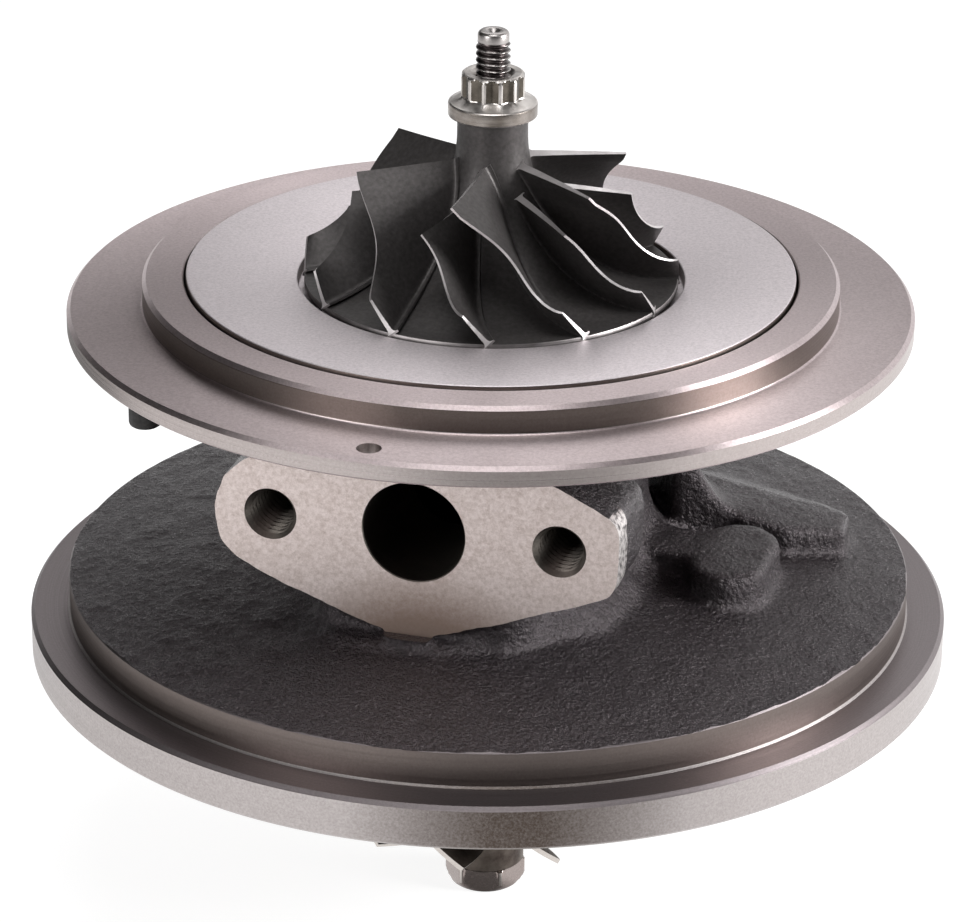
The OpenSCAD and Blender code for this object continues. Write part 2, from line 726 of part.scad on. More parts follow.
module bearing_retaining_rings() {
  outer_r = bush_seat_r + retaining_ring_bite;
  color("#77777a")
    for (z = [turbine_ring_z, compressor_ring_z])
      split_ring(outer_r - retaining_ring_wall, outer_r, z, retaining_ring_t, retaining_ring_gap);
}

module heat_shield() {
  floor_r = shield_dish_r - shield_slope;
  color("#7d7468")
    rotate_extrude()
      polygon([[shield_bore_r, -shield_depth], [floor_r, -shield_depth], [shield_dish_r, -shield_t],
        [shield_rim_r, -shield_t], [shield_rim_r, 0], [shield_dish_r - shield_t, 0],
        [floor_r - shield_t, shield_t - shield_depth], [shield_bore_r, shield_t - shield_depth]]);
}

// A floating bush with four oil holes
module journal_bearing(z) {
  color("#b5924f")
    difference() {
      ring(bush_in_r, bush_out_r, z, bush_l);
      for (a = [45 : 90 : 315])
        translate([0, 0, z + bush_l / 2])
          rotate([90, 0, a]) cylinder(r = bush_oil_hole_r, h = bush_out_r + cut, $fn = 32);
    }
}

module turbine_journal_bearing() {
  journal_bearing(turbine_bush_z);
}

module compressor_journal_bearing() {
  journal_bearing(compressor_bush_z);
}

module turbine_wheel() {
  hub_steps = 8;
  left = blade_grid(turbine_camber, 0, turbine_root_sink, turbine_root_t, turbine_tip_t, -1);
  right = blade_grid(turbine_camber, 0, turbine_root_sink, turbine_root_t, turbine_tip_t, 1);
  // Share of the hub curve at which the disc's rim begins
  rim_s = asin(1 - (turbine_disc_r - turbine_hub_r) / (turbine_d / 2 - turbine_hub_r)) / 90;
  groove_low = turbine_ring_seat_z - ring_play;
  groove_high = turbine_ring_seat_z + seal_ring_t + ring_play;
  hex_end_r = hex_flats / 2 - hex_bevel;
  hex_h = hex_l + hex_bevel;
  color("#6e6862") {
    rotate_extrude()
      polygon(concat(
        [[0, ring_carrier_z], [0, hex_z + hex_l], [turbine_hub_r, hex_z + hex_l]],
        [for (i = [0 : hub_steps]) turbine_hub_at(1 - (1 - rim_s) * i / hub_steps)],
        [[turbine_disc_r, -turbine_back], [ring_carrier_r + ring_carrier_foot, -turbine_back],
          [ring_carrier_r, ring_carrier_foot - turbine_back], [ring_carrier_r, groove_low],
          [turbine_groove_r, groove_low], [turbine_groove_r, groove_high], [ring_carrier_r, groove_high],
          [ring_carrier_r, ring_carrier_z]]));
    for (k = [0 : turbine_blades - 1])
      rotate([0, 0, k * 360 / turbine_blades]) blade_between(left, right);
    translate([0, 0, hex_z])
      rotate([0, 0, hex_turn]) intersection() {
        cylinder(d = hex_flats / cos(30), h = hex_h, $fn = 6);
        cylinder(r1 = hex_end_r, r2 = hex_end_r + hex_h * hex_bevel_slope, h = hex_h);
      }
  }
}

module rotor_shaft() {
  thread_r = thread_d / 2;
  tip_r = thread_r - thread_relief;
  thread_z = wheel_top_z - thread_start;
  plain_z = tip_z - plain_tip_l;
  color("#8c8a88")
    rotate_extrude()
      polygon([[0, ring_carrier_z], [journal_r, ring_carrier_z], [journal_r, shaft_shoulder_z - shaft_bevel],
        [journal_r - shaft_bevel, shaft_shoulder_z], [stub_r, shaft_shoulder_z], [stub_r, thread_z],
        [thread_r, thread_z], [thread_r, plain_z], [tip_r, plain_z], [tip_r, tip_z - shaft_bevel],
        [tip_r - shaft_bevel, tip_z], [centre_r, tip_z], [0, tip_z - centre_depth]]);
}

module thrust_collar() {
  bore_r = stub_r + slip_fit;
  face_z = pocket_floor_z - thrust_play;
  color("#8e8c86")
    rotate_extrude()
      polygon([[bore_r, shaft_shoulder_z], [collar_r, shaft_shoulder_z], [collar_r, face_z],
        [spool_r, face_z], [spool_r, collar_top_z], [bore_r, collar_top_z]]);
}

module seal_sleeve() {
  bore_r = stub_r + slip_fit;
  flange_z = collar_top_z + sleeve_flange_t;
  groove_low = compressor_ring_seat_z - ring_play;
  groove_high = compressor_ring_seat_z + seal_ring_t + ring_play;
  color("#8e8c86")
    rotate_extrude()
      polygon([[bore_r, collar_top_z], [collar_r, collar_top_z], [collar_r, flange_z],
        [sleeve_r, flange_z + sleeve_bevel], [sleeve_r, groove_low], [groove_r, groove_low],
        [groove_r, groove_high], [sleeve_r, groove_high], [sleeve_r, wheel_back_z], [bore_r, wheel_back_z]]);
}

module compressor_wheel() {
  hub_steps = 9;
  bore_r = stub_r + slip_fit;
  full = [for (side = [-1, 1])
    blade_grid(compressor_camber, 0, root_sink, blade_root_t, blade_tip_t, side)];
  short = [for (side = [-1, 1])
    blade_grid(compressor_camber, splitter_start, root_sink, blade_root_t, blade_tip_t, side)];
  color("#4a4645") {
    rotate_extrude()
      polygon(concat(
        [[bore_r, wheel_back_z], [wheel_back_r, wheel_back_z], [exducer_d / 2, disc_rim_z]],
        [for (i = [hub_steps : -1 : 0]) let (a = 90 * i / hub_steps) [hub_r(a), hub_z(a)]],
        [[hub_nose_d / 2, wheel_top_z], [bore_r, wheel_top_z]]));
    for (k = [0 : full_blades - 1]) {
      rotate([0, 0, k * 360 / full_blades]) blade_between(full[0], full[1]);
      rotate([0, 0, (k + 0.5) * 360 / full_blades]) blade_between(short[0], short[1]);
    }
  }
}

module shaft_nut() {
  seat_z = wheel_top_z + nut_flange_h;
  cone_foot_r = nut_flange_d / 2 - nut_cone_inset;
  cone_top_r = nut_points_d / 2 - nut_drive_inset;
  thread_r = thread_d / 2;
  color("#c3bfb8")
    difference() {
      union() {
        translate([0, 0, wheel_top_z]) cylinder(d = nut_flange_d, h = nut_flange_h);
        translate([0, 0, seat_z]) cylinder(r1 = cone_foot_r, r2 = cone_top_r, h = nut_cone_h);
        for (a = [0, 30])
          translate([0, 0, seat_z])
            rotate([0, 0, a]) cylinder(d = nut_points_d, h = nut_top_z - seat_z, $fn = 6);
      }
      translate([0, 0, wheel_top_z - cut]) cylinder(r = thread_r + slip_fit, h = nut_h + 2 * cut);
      translate([0, 0, nut_top_z - nut_mouth])
        cylinder(r1 = thread_r, r2 = thread_r + nut_mouth + cut, h = nut_mouth + cut);
    }
}

bearing_housing();
backing_flange();
seal_plate();
seal_plate_o_ring();
flange_o_ring();
seal_plate_bolts();
flange_dowel();
thrust_bearing();
thrust_bearing_pins();
oil_baffle();
compressor_seal_ring();
turbine_seal_ring();
bearing_retaining_rings();
heat_shield();
turbine_journal_bearing();
compressor_journal_bearing();
turbine_wheel();
rotor_shaft();
thrust_collar();
seal_sleeve();
compressor_wheel();
shaft_nut();
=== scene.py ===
import json
import math

import bmesh
import bpy
import numpy as np
from mathutils import Matrix, Vector, noise


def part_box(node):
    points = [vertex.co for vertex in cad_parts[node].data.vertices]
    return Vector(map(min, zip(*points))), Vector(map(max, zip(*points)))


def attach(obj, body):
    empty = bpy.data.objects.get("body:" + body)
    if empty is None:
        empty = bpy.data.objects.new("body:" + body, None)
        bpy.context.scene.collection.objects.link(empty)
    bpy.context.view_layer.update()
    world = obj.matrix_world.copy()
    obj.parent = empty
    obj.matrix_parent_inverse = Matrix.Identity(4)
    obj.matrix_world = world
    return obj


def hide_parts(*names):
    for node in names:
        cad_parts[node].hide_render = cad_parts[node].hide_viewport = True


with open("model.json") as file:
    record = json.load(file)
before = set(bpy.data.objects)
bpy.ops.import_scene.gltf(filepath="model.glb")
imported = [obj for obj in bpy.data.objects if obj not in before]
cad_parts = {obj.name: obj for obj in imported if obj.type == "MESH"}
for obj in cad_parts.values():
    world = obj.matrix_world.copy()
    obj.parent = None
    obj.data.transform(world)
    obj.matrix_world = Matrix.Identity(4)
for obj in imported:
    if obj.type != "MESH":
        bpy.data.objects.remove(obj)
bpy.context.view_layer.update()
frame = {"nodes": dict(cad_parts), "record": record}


# Bearing housing, as cast
# A grey iron sand casting, dipped black: cone, neck, shoulder, drain flange and its column, oil
# inlet boss, and the boss, pad and ramp on the right. Stock is left on it for machining.
MM = 0.001


def size_of(node):
    """A solid's outer radius, lowest level and highest level in the frame, in millimetres."""
    low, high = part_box(node)
    return [round(v / MM, 3) for v in (high[0], low[2], high[2])]


fits = {mount["name"]: mount for mount in frame["record"]["mounts"]}
flange_r, spigot_z, housing_top = size_of("bearing_housing")
step_r, ledge_z, cone_z = 64.9, 6.8, 12.4
foot_r, foot_z, neck_r, neck_fillet = 34.0, 16.7, 24.5, 9.5
shoulder_r, shoulder_z, shoulder_fillet = 38.0, 46.5, 3.0
drain_y, drain_z = (v / MM for v in fits["oil_drain_bolts"]["pos_m"][1:])
drain_flange_t = 15.0
spigot_r, inlet_boss_r, inlet_y = 14.0, 8.5, 36.0
lump_foot = 10.0
stock = 2.0
sand_grain = 0.55


def put_in_scene(name, data):
    """An object that holds a mesh, a lamp or a camera."""
    holder = bpy.data.objects.new(name, data)
    bpy.context.scene.collection.objects.link(holder)
    return holder


def make_piece(name, points, faces):
    """A mesh object from points in millimetres."""
    mesh = bpy.data.meshes.new(name)
    mesh.from_pydata((np.asarray(points, float) * MM).tolist(), [], faces)
    mesh.validate()
    mesh.update()
    return put_in_scene(name, mesh)


def ring_of(r, z, steps):
    """A ring of points; r and z are numbers, or one value for each step."""
    turn = np.linspace(0, 2 * math.pi, steps, endpoint=False)
    return np.stack([r * np.cos(turn), r * np.sin(turn), z + 0 * turn], 1)


def skin(name, rings, closed=False, poles=(None, None)):
    """A closed skin over rings of equal length, which joins up or closes on a pole at each end."""
    steps = len(rings[0])
    points = np.concatenate(rings)
    faces = []
    for i in range(len(rings) if closed else len(rings) - 1):
        low, high = i * steps, (i + 1) % len(rings) * steps
        faces += [(low + k, low + (k + 1) % steps, high + (k + 1) % steps, high + k) for k in range(steps)]
    if not closed:
        last = (len(rings) - 1) * steps
        points = np.concatenate([points, [poles[0]], [poles[1]]])
        faces += [(len(points) - 2, (k + 1) % steps, k) for k in range(steps)]
        faces += [(len(points) - 1, last + k, last + (k + 1) % steps) for k in range(steps)]
    return make_piece(name, points, faces)


def lathe(name, profile, steps=256):
    """A turned solid from (radius, height) points, anticlockwise when the axis is on the left."""
    if profile[0][0] > 0:
        return skin(name, [ring_of(r, z, steps) for r, z in profile], closed=True)
    ends = [(0, 0, profile[0][1]), (0, 0, profile[-1][1])]
    return skin(name, [ring_of(r, z, steps) for r, z in profile[1:-1]], poles=ends)


def block_along_y(name, outline, back, front):
    """A straight block over an outline of (x, z) points, from one depth forward to another."""
    rings = [np.array([(x, y, z) for x, z in outline], float) for y in (back, front)]
    return skin(name, rings, poles=[ring.mean(0) for ring in rings])


def post(name, x, y, r, low, high, top_r=None, steps=48):
    """A round cast post."""
    shift = np.array([x, y, 0.0])
    rings = [ring_of(r, low, steps) + shift, ring_of(top_r or r, high, steps) + shift]
    return skin(name, rings, poles=((x, y, low), (x, y, high)))


def hull_of(name, *parts):
    """The hull over some pieces, which are used up."""
    points = np.concatenate([points_of(p) for p in parts])
    for p in parts:
        bpy.data.objects.remove(p)
    work = bmesh.new()
    for p in points:
        work.verts.new(Vector(p) * MM)
    made = bmesh.ops.convex_hull(work, input=work.verts)
    spare = [v for v in made["geom_interior"] + made["geom_unused"] if isinstance(v, bmesh.types.BMVert)]
    bmesh.ops.delete(work, geom=list(set(spare)), context="VERTS")
    bmesh.ops.recalc_face_normals(work, faces=work.faces)
    mesh = bpy.data.meshes.new(name)
    work.to_mesh(mesh)
    work.free()
    return put_in_scene(name, mesh)


def points_of(piece):
    co = np.zeros(len(piece.data.vertices) * 3, np.float32)
    piece.data.vertices.foreach_get("co", co)
    return co.reshape(-1, 3).astype(float) / MM


def apply_modifiers(piece):
    view = bpy.context.evaluated_depsgraph_get()
    mesh = bpy.data.meshes.new_from_object(piece.evaluated_get(view))
    old = piece.data
    piece.modifiers.clear()
    piece.data = mesh
    bpy.data.meshes.remove(old)


def join(piece, others):
    with bpy.context.temp_override(active_object=piece, selected_editable_objects=[piece] + others):
        bpy.ops.object.join()


def cone_height(x, y):
    return cone_z + (foot_z - cone_z) * (step_r - math.hypot(x, y)) / (step_r - foot_r)


def arc(cx, cz, r, first, last, steps):
    turns = np.radians(np.linspace(first, last, steps))
    return [(cx + r * math.cos(t), cz + r * math.sin(t)) for t in turns]


casting = lathe("bearing_housing_cast", [
    (0, spigot_z - stock), (spigot_r + stock, spigot_z - stock), (spigot_r + stock, -stock),
    (flange_r + stock, -stock), (flange_r + stock, ledge_z + stock), (step_r + stock, ledge_z + stock),
    (step_r + stock, cone_z - 0.3)]
    + arc(foot_r, foot_z + neck_fillet, neck_fillet, 270, 180, 16)
    + arc(neck_r + shoulder_fillet, shoulder_z - shoulder_fillet, shoulder_fillet, 180, 90, 8)
    + [(shoulder_r, shoulder_z), (shoulder_r, housing_top + stock), (0, housing_top + stock)])

# Drain flange outline, looking at its face from the front, with the wavy edge of the pattern
drain_outline = [(-30.8, 0.6), (-29.9, -5.0), (-27.8, -7.4), (-24.3, -9.1), (-19.8, -11.1), (-13.5, -13.2),
                 (-6.4, -15.8), (-2.0, -16.3), (1.1, -16.3), (4.6, -15.8), (8.7, -14.4), (13.3, -12.8),
                 (19.3, -10.4), (25.0, -8.3), (28.2, -7.0), (29.7, -6.2), (30.6, -4.8), (30.8, -3.1),
                 (30.9, 1.6), (30.7, 4.7), (29.7, 6.0), (26.5, 7.8), (21.7, 9.8), (13.5, 13.3), (6.5, 15.9),
                 (1.5, 16.5), (-3.0, 16.3), (-7.5, 15.4), (-14.0, 12.9), (-21.0, 10.2), (-26.0, 8.3),
                 (-29.4, 5.0)]
drain_block = block_along_y("drain_block", [(x, drain_z + z) for x, z in drain_outline],
                            drain_y + drain_flange_t, drain_y - stock)


def cast_lump(name, *posts):
    """A lump over posts given by place, radius and top level, all standing in the flange."""
    return hull_of(name, *[post(name, x, y, r, lump_foot, top, r * 0.85) for x, y, r, top in posts])


column = hull_of("drain_column", *[post("leg", x, y, r, lump_foot, 44.5, top_r) for x in (-11, 12)
                                   for y, r, top_r in ((drain_y + 7, 6, 4), (-8, 4, 4))])
front_foot = cast_lump("front_foot", (-10.5, -38.2, 3.6, 16.3), (2, -38.0, 3.6, 16.8), (15, -33, 3.6, 16.9),
                       (-10, -30, 5, 17.2), (12, -28, 5, 17.4))
side_foot = cast_lump("side_foot", (16.5, -31.5, 3, 17.2), (23.5, -25.5, 3, 17.6), (25.5, -14.5, 3, 18),
                      (12, -30, 3, 25), (14, -12, 3, 28))
inlet_boss = block_along_y("inlet_boss", [(inlet_boss_r * math.cos(t), drain_z + inlet_boss_r * math.sin(t))
                                          for t in np.linspace(0, 2 * math.pi, 48, endpoint=False)],
                           inlet_y + stock, 0)
boss_ends, boss_r = ((39.6, -6.9), (39.6, 1.8)), 6.8
boss_top = cone_height(*boss_ends[0]) + 5
boss = cast_lump("oblong_boss", *[(x, y, boss_r, boss_top) for x, y in boss_ends])
boss_rib = cast_lump("boss_rib", (38, -2.5, 5.8, boss_top - 0.5), (neck_r, 0, 6, boss_top - 0.2))
pad = cast_lump("cast_pad", *[(x, y, 1.2, cone_height(x, y) + h) for x, y, h in (
    (44.4, 11.1, 4), (51.9, 15.8, 4), (51.3, 22, 4), (28, 12, 5), (26, 22, 5), (44, 32, 0.2), (28, 36, 0.2))])
ramp_steps = [(29.5, shoulder_z), (30.6, 31), (32.0, 27), (34.5, 23), (38.0, 20.2), (43, 19)]
ramp = []
for inner, outer in zip(ramp_steps, ramp_steps[1:]):
    ramp.append(cast_lump("neck_ramp", *[
        ((r - set_in) * math.cos(math.radians(a)), (r - set_in) * math.sin(math.radians(a)), 1.2, top)
        for r, top in (inner, outer) for a, set_in in ((18, 0), (42, 1.5))]))
join(casting, [drain_block, column, front_foot, side_foot, inlet_boss, boss, boss_rib, pad] + ramp)

remesh = casting.modifiers.new("one skin", "REMESH")
remesh.mode = "VOXEL"
remesh.voxel_size = sand_grain * MM
melt = casting.modifiers.new("cast fillets", "SMOOTH")
melt.factor, melt.iterations = 0.5, 18
apply_modifiers(casting)

# Waves of the sand mould, long and short, pushed along the skin's normals
long_wave, short_wave = (0.16, 0.22), (0.11, 0.75)
points = points_of(casting)
normals = np.zeros(len(points) * 3, np.float32)
casting.data.vertices.foreach_get("normal", normals)
waves = np.array([sum(depth * noise.noise(Vector(p) * per_mm) for depth, per_mm in (long_wave, short_wave))
                  for p in points])
points = (points + normals.reshape(-1, 3) * waves[:, None]) * MM
casting.data.vertices.foreach_set("co", points.astype(np.float32).ravel())
casting.data.update()


# Bearing housing, machined
# The rim, ledge, step, seat and top are turned on the casting, the drain face is milled, and the
# bores, oil ways and threaded holes are cut. A cut face is bright where the skin is black.
edge_break = 0.14


def cut_with(piece, tool, operation="DIFFERENCE"):
    """Machines a piece with a tool body, which is used up."""
    step = piece.modifiers.new("cut", "BOOLEAN")
    step.operation, step.object, step.solver = operation, tool, "MANIFOLD"
    apply_modifiers(piece)
    bpy.data.objects.remove(tool)


def threaded_rod(name, r, pitch, depth, length, origin, axis, steps=48):
    """A rod with a helical thread, which leaves a tapped hole where it is cut away."""
    levels = np.arange(0, length + pitch / 20, pitch / 10)
    turn = np.linspace(0, 1, steps, endpoint=False)
    rings = []
    for z in levels:
        share = (z / pitch - turn) % 1
        rings.append(ring_of(r - depth * np.clip(np.abs(share - 0.5) * 2.4 - 0.1, 0, 1), z, steps))
    rod = skin(name, rings, poles=((0, 0, levels[0]), (0, 0, levels[-1])))
    turn_to = Vector((0, 0, 1)).rotation_difference(Vector(axis)).to_matrix().to_4x4()
    rod.data.transform(Matrix.Translation(Vector(origin) * MM) @ turn_to)
    return rod


def bore_along_y(name, x, z, r, mouth_r, front, back, steps=64):
    """A bore that runs back along Y from a wider mouth."""
    rings = []
    for ring_r, y in ((mouth_r, front), (r, front + (mouth_r - r)), (r, back)):
        flat = ring_of(ring_r, 0, steps)[::-1]
        rings.append(np.stack([flat[:, 0], flat[:, 2], flat[:, 1]], 1) + [x, y, z])
    return skin(name, rings, poles=((x, front, z), (x, back, z)))


rim_break, spigot_break, seat_break, step_foot_r = 0.6, 0.4, 0.5, 0.3
relief_r, relief_depth = (42, 60), 2.5
turned = lathe("turned_envelope", [
    (0, spigot_z), (spigot_r - spigot_break, spigot_z), (spigot_r, spigot_z + spigot_break), (spigot_r, 0),
    (relief_r[0], 0), (relief_r[0], relief_depth), (relief_r[1], relief_depth), (relief_r[1], 0),
    (flange_r - seat_break, 0), (flange_r, seat_break), (flange_r, ledge_z - rim_break),
    (flange_r - rim_break, ledge_z), (step_r + step_foot_r, ledge_z), (step_r, ledge_z + step_foot_r),
    (step_r, cone_z - edge_break), (step_r - 3, cone_z + 3 - edge_break), (step_r - 3, housing_top),
    (0, housing_top)], steps=384)
cut_with(casting, turned, "INTERSECT")
cut_with(casting, block_along_y("face_cutter", [(-40, 17.5), (40, 17.5), (40, 52.0), (-40, 52.0)],
                                drain_y, drain_y - 30))
cut_with(casting, block_along_y("inlet_cutter", [(-14, 22), (14, 22), (14, 46), (-14, 46)], 60, inlet_y))
drain_r, drain_mouth_r, drain_end = fits["oil_drain_port"]["dims"]["r_mm"], 8.5, -12.6
cut_with(casting, bore_along_y("drain_bore", 0, drain_z, drain_r, drain_mouth_r, drain_y - 0.6, drain_end))
bolt_x = fits["oil_drain_bolts"]["dims"]["spacing_x_mm"] / 2
for x in (-bolt_x, bolt_x):
    cut_with(casting, threaded_rod("drain_tap", 4.0, 1.25, 0.68, 14.0, (x, drain_y - 1, drain_z), (0, 1, 0)))
    cut_with(casting, bore_along_y("tap_mouth", x, drain_z, 3.3, 4.45, drain_y - 0.4, drain_y + 2))
cut_with(casting, threaded_rod("inlet_tap", 5.0, 1.0, 0.5, 12.0, (0, inlet_y + 1, drain_z), (0, -1, 0)))
seal_r, passage_r, seat_r, chamber_r, pocket_r = 8.5, 5.2, 6.58, 18.0, 21.0
bore_low, seal_end, passage_end, chamber_low, chamber_high = -5, 6.5, 10.2, 21.35, 27.05
seat_end, pocket_low, bore_high = 38.8, 41.5, 55
bores = lathe("bearing_bores", [
    (0, bore_low), (seal_r, bore_low), (seal_r, seal_end), (passage_r, seal_end), (passage_r, passage_end),
    (seat_r, passage_end), (seat_r, chamber_low), (chamber_r, chamber_low), (chamber_r, chamber_high),
    (seat_r, chamber_high), (seat_r, seat_end), (chamber_r, seat_end), (chamber_r, pocket_low),
    (pocket_r, pocket_low), (pocket_r, bore_high), (0, bore_high)], steps=128)
cut_with(casting, bores)
gallery_r = 10.6
half_turn = np.radians(np.linspace(180, 360, 49))
half_ring = [(chamber_r * math.cos(t), chamber_r * math.sin(t)) for t in half_turn]
half_ring += [(gallery_r * math.cos(t), gallery_r * math.sin(t)) for t in half_turn[::-1]]
corners = len(half_ring)
gallery_points = [(x, y, z) for z in (chamber_low - 0.05, pocket_low + 0.1) for x, y in half_ring]
gallery_faces = [tuple(range(corners))[::-1], tuple(range(corners, 2 * corners))]
gallery_faces += [(k, (k + 1) % corners, corners + (k + 1) % corners, corners + k) for k in range(corners)]
cut_with(casting, make_piece("oil_gallery", gallery_points, gallery_faces))

housing = casting
housing.name = "housing_casting"


def shader_of(name, colour, metallic, roughness):
    """A new material, its shader and its node tree."""
    coat = bpy.data.materials.new(name)
    coat.use_nodes = True
    shader = coat.node_tree.nodes["Principled BSDF"]
    shader.inputs["Base Color"].default_value = (*colour, 1)
    shader.inputs["Metallic"].default_value = metallic
    shader.inputs["Roughness"].default_value = roughness
    return coat, shader, coat.node_tree


def add(tree, kind, values=None, **settings):
    """A node with its settings and its input values, which may be other nodes' outputs."""
    made = tree.nodes.new("ShaderNode" + kind)
    for key, value in settings.items():
        setattr(made, key, value)
    for key, value in (values or {}).items():
        if isinstance(value, bpy.types.NodeSocket):
            tree.links.new(value, made.inputs[key])
        else:
            made.inputs[key].default_value = value
    return made


def grain(tree, per_mm, detail=3.0, stretch=(1, 1, 1), rough=0.55):
    """Noise with a grain of the given count to the millimetre, from 0 to 1."""
    place = add(tree, "TexCoord").outputs["Object"]
    size = add(tree, "VectorMath", {0: place, 1: stretch}, operation="MULTIPLY").outputs[0]
    values = {"Vector": size, "Scale": per_mm / MM, "Detail": detail, "Roughness": rough}
    return add(tree, "TexNoise", values).outputs["Fac"]


def reckon(tree, operation, first, second):
    """One step of arithmetic on two values."""
    return add(tree, "Math", {0: first, 1: second}, operation=operation).outputs[0]


def lathe_lines(tree, per_mm, wander=0.02):
    """Tool marks round the shaft axis: noise over radius and height, nearly even round the turn."""
    place = add(tree, "TexCoord").outputs["Object"]
    part = add(tree, "SeparateXYZ", {0: place})
    flat = add(tree, "CombineXYZ", {0: part.outputs[0], 1: part.outputs[1]})
    radius = add(tree, "VectorMath", {0: flat.outputs[0]}, operation="LENGTH").outputs["Value"]
    turn = reckon(tree, "ARCTAN2", part.outputs[1], part.outputs[0])
    slow = reckon(tree, "MULTIPLY", turn, wander * MM)
    place = add(tree, "CombineXYZ", {0: radius, 1: part.outputs[2], 2: slow}).outputs[0]
    values = {"Vector": place, "Scale": per_mm / MM, "Detail": 2.0}
    return add(tree, "TexNoise", values).outputs["Fac"]


def spread(tree, value, low, high, start=0.3, end=0.7):
    """A noise value spread over another range."""
    return add(tree, "MapRange", {0: value, 1: start, 2: end, 3: low, 4: high}).outputs[0]


def tint(shader, value, dark, light, start=0.3, end=0.7):
    """Colours the shader between two tones."""
    tree = shader.id_data
    ramp = add(tree, "ValToRGB", {0: value})
    ramp.color_ramp.elements[0].position, ramp.color_ramp.elements[1].position = start, end
    ramp.color_ramp.elements[0].color, ramp.color_ramp.elements[1].color = (*dark, 1), (*light, 1)
    tree.links.new(ramp.outputs[0], shader.inputs["Base Color"])


def dull(shader, value, low, high, start=0.3, end=0.7):
    """Lets the shader's roughness wander between two values."""
    tree = shader.id_data
    tree.links.new(spread(tree, value, low, high, start, end), shader.inputs["Roughness"])


def bump(shader, height, depth_mm, strength=1.0):
    """Lays relief of the given depth over what the shader already has."""
    tree = shader.id_data
    relief = add(tree, "Bump", {"Height": height, "Distance": depth_mm * MM, "Strength": strength})
    if shader.inputs["Normal"].is_linked:
        tree.links.new(shader.inputs["Normal"].links[0].from_socket, relief.inputs["Normal"])
    tree.links.new(relief.outputs[0], shader.inputs["Normal"])


def black_casting():
    """Black dip over sand-cast iron: a leathery ripple with fine sandy specks, tinted lighter on the crests
    of the same relief as a painted highlight.
    """
    coat, shader, tree = shader_of("black_casting", (0.012, 0.009, 0.009), 0.0, 0.34)
    shader.inputs["Specular IOR Level"].default_value = 0.75
    shader.inputs["Specular Tint"].default_value = (1, 0.9, 0.94, 1)
    sand = grain(tree, 2.4, 6, rough=0.75)
    # Painted highlight: the tint rises with the same noise that raises the relief, so the crests are coloured
    # lighter than the valleys.
    tint(shader, sand, (0.002, 0.0015, 0.0015), (0.066, 0.055, 0.06), 0.43, 0.68)
    dull(shader, sand, 0.4, 0.22, 0.42, 0.6)
    bump(shader, grain(tree, 1.35, 2), 0.4, 1.0)
    bump(shader, sand, 0.2, 1.0)
    return coat


def fade_near(tree, value, at, near, far):
    """Lowers a value to nothing near a place, and leaves it alone past the far distance."""
    place = add(tree, "TexCoord").outputs["Object"]
    away = add(tree, "VectorMath", {0: place, 1: [v * MM for v in at]}, operation="DISTANCE")
    clear = add(tree, "MapRange", {0: away.outputs["Value"], 1: near * MM, 2: far * MM})
    return reckon(tree, "MULTIPLY", value, clear.outputs[0])


def turned_iron(name, dark, light, roughness, painted_dark_patch=None):
    """Iron turned bright, with tool marks round the axis, fine specks and maybe a painted dark patch: shade
    that stands in for a dark reflection.
    """
    coat, shader, tree = shader_of(name, light, 1.0, roughness)
    tone = fade_near(tree, 0.4, *painted_dark_patch) if painted_dark_patch else 0.4
    specks = spread(tree, grain(tree, 2.8, 4, rough=0.7), 0, 0.2)
    tint(shader, reckon(tree, "ADD", tone, specks), dark, light, 0.05, 0.65)
    dull(shader, lathe_lines(tree, 6.0), roughness - 0.08, roughness + 0.1)
    bump(shader, lathe_lines(tree, 5.0), 0.02, 0.5)
    bump(shader, grain(tree, 2.5, 3), 0.02, 0.3)
    return coat


def milled_iron():
    """The drain face: pale milled iron with pores and a beige film."""
    coat, shader, tree = shader_of("milled_iron", (0.5, 0.43, 0.36), 0.85, 0.5)
    specks = fade_near(tree, grain(tree, 1.6, 6, rough=0.78), (2, drain_y, drain_z - 28), 12, 23)
    tint(shader, specks, (0.34, 0.255, 0.215), (0.74, 0.65, 0.625), 0.1, 0.6)
    dull(shader, grain(tree, 2.0, 3), 0.42, 0.62)
    bump(shader, grain(tree, 3.0, 3, (1, 1, 4)), 0.03, 0.5)
    return coat


def paint(piece, coats, choose):
    """Gives each face one of the coats; choose gets all face centres in millimetres and normals."""
    mesh = piece.data
    mesh.materials.clear()
    for coat in coats:
        mesh.materials.append(coat)
    middles = np.zeros(len(mesh.polygons) * 3, np.float32)
    facing = np.zeros_like(middles)
    mesh.polygons.foreach_get("center", middles)
    mesh.polygons.foreach_get("normal", facing)
    index = choose(middles.reshape(-1, 3) / MM, facing.reshape(-1, 3))
    mesh.polygons.foreach_set("material_index", np.asarray(index, np.int32))


def shade(piece, angle=28):
    """Smooth shading with sharp edges kept."""
    piece.data.shade_smooth()
    piece.data.set_sharp_from_angle(angle=math.radians(angle))


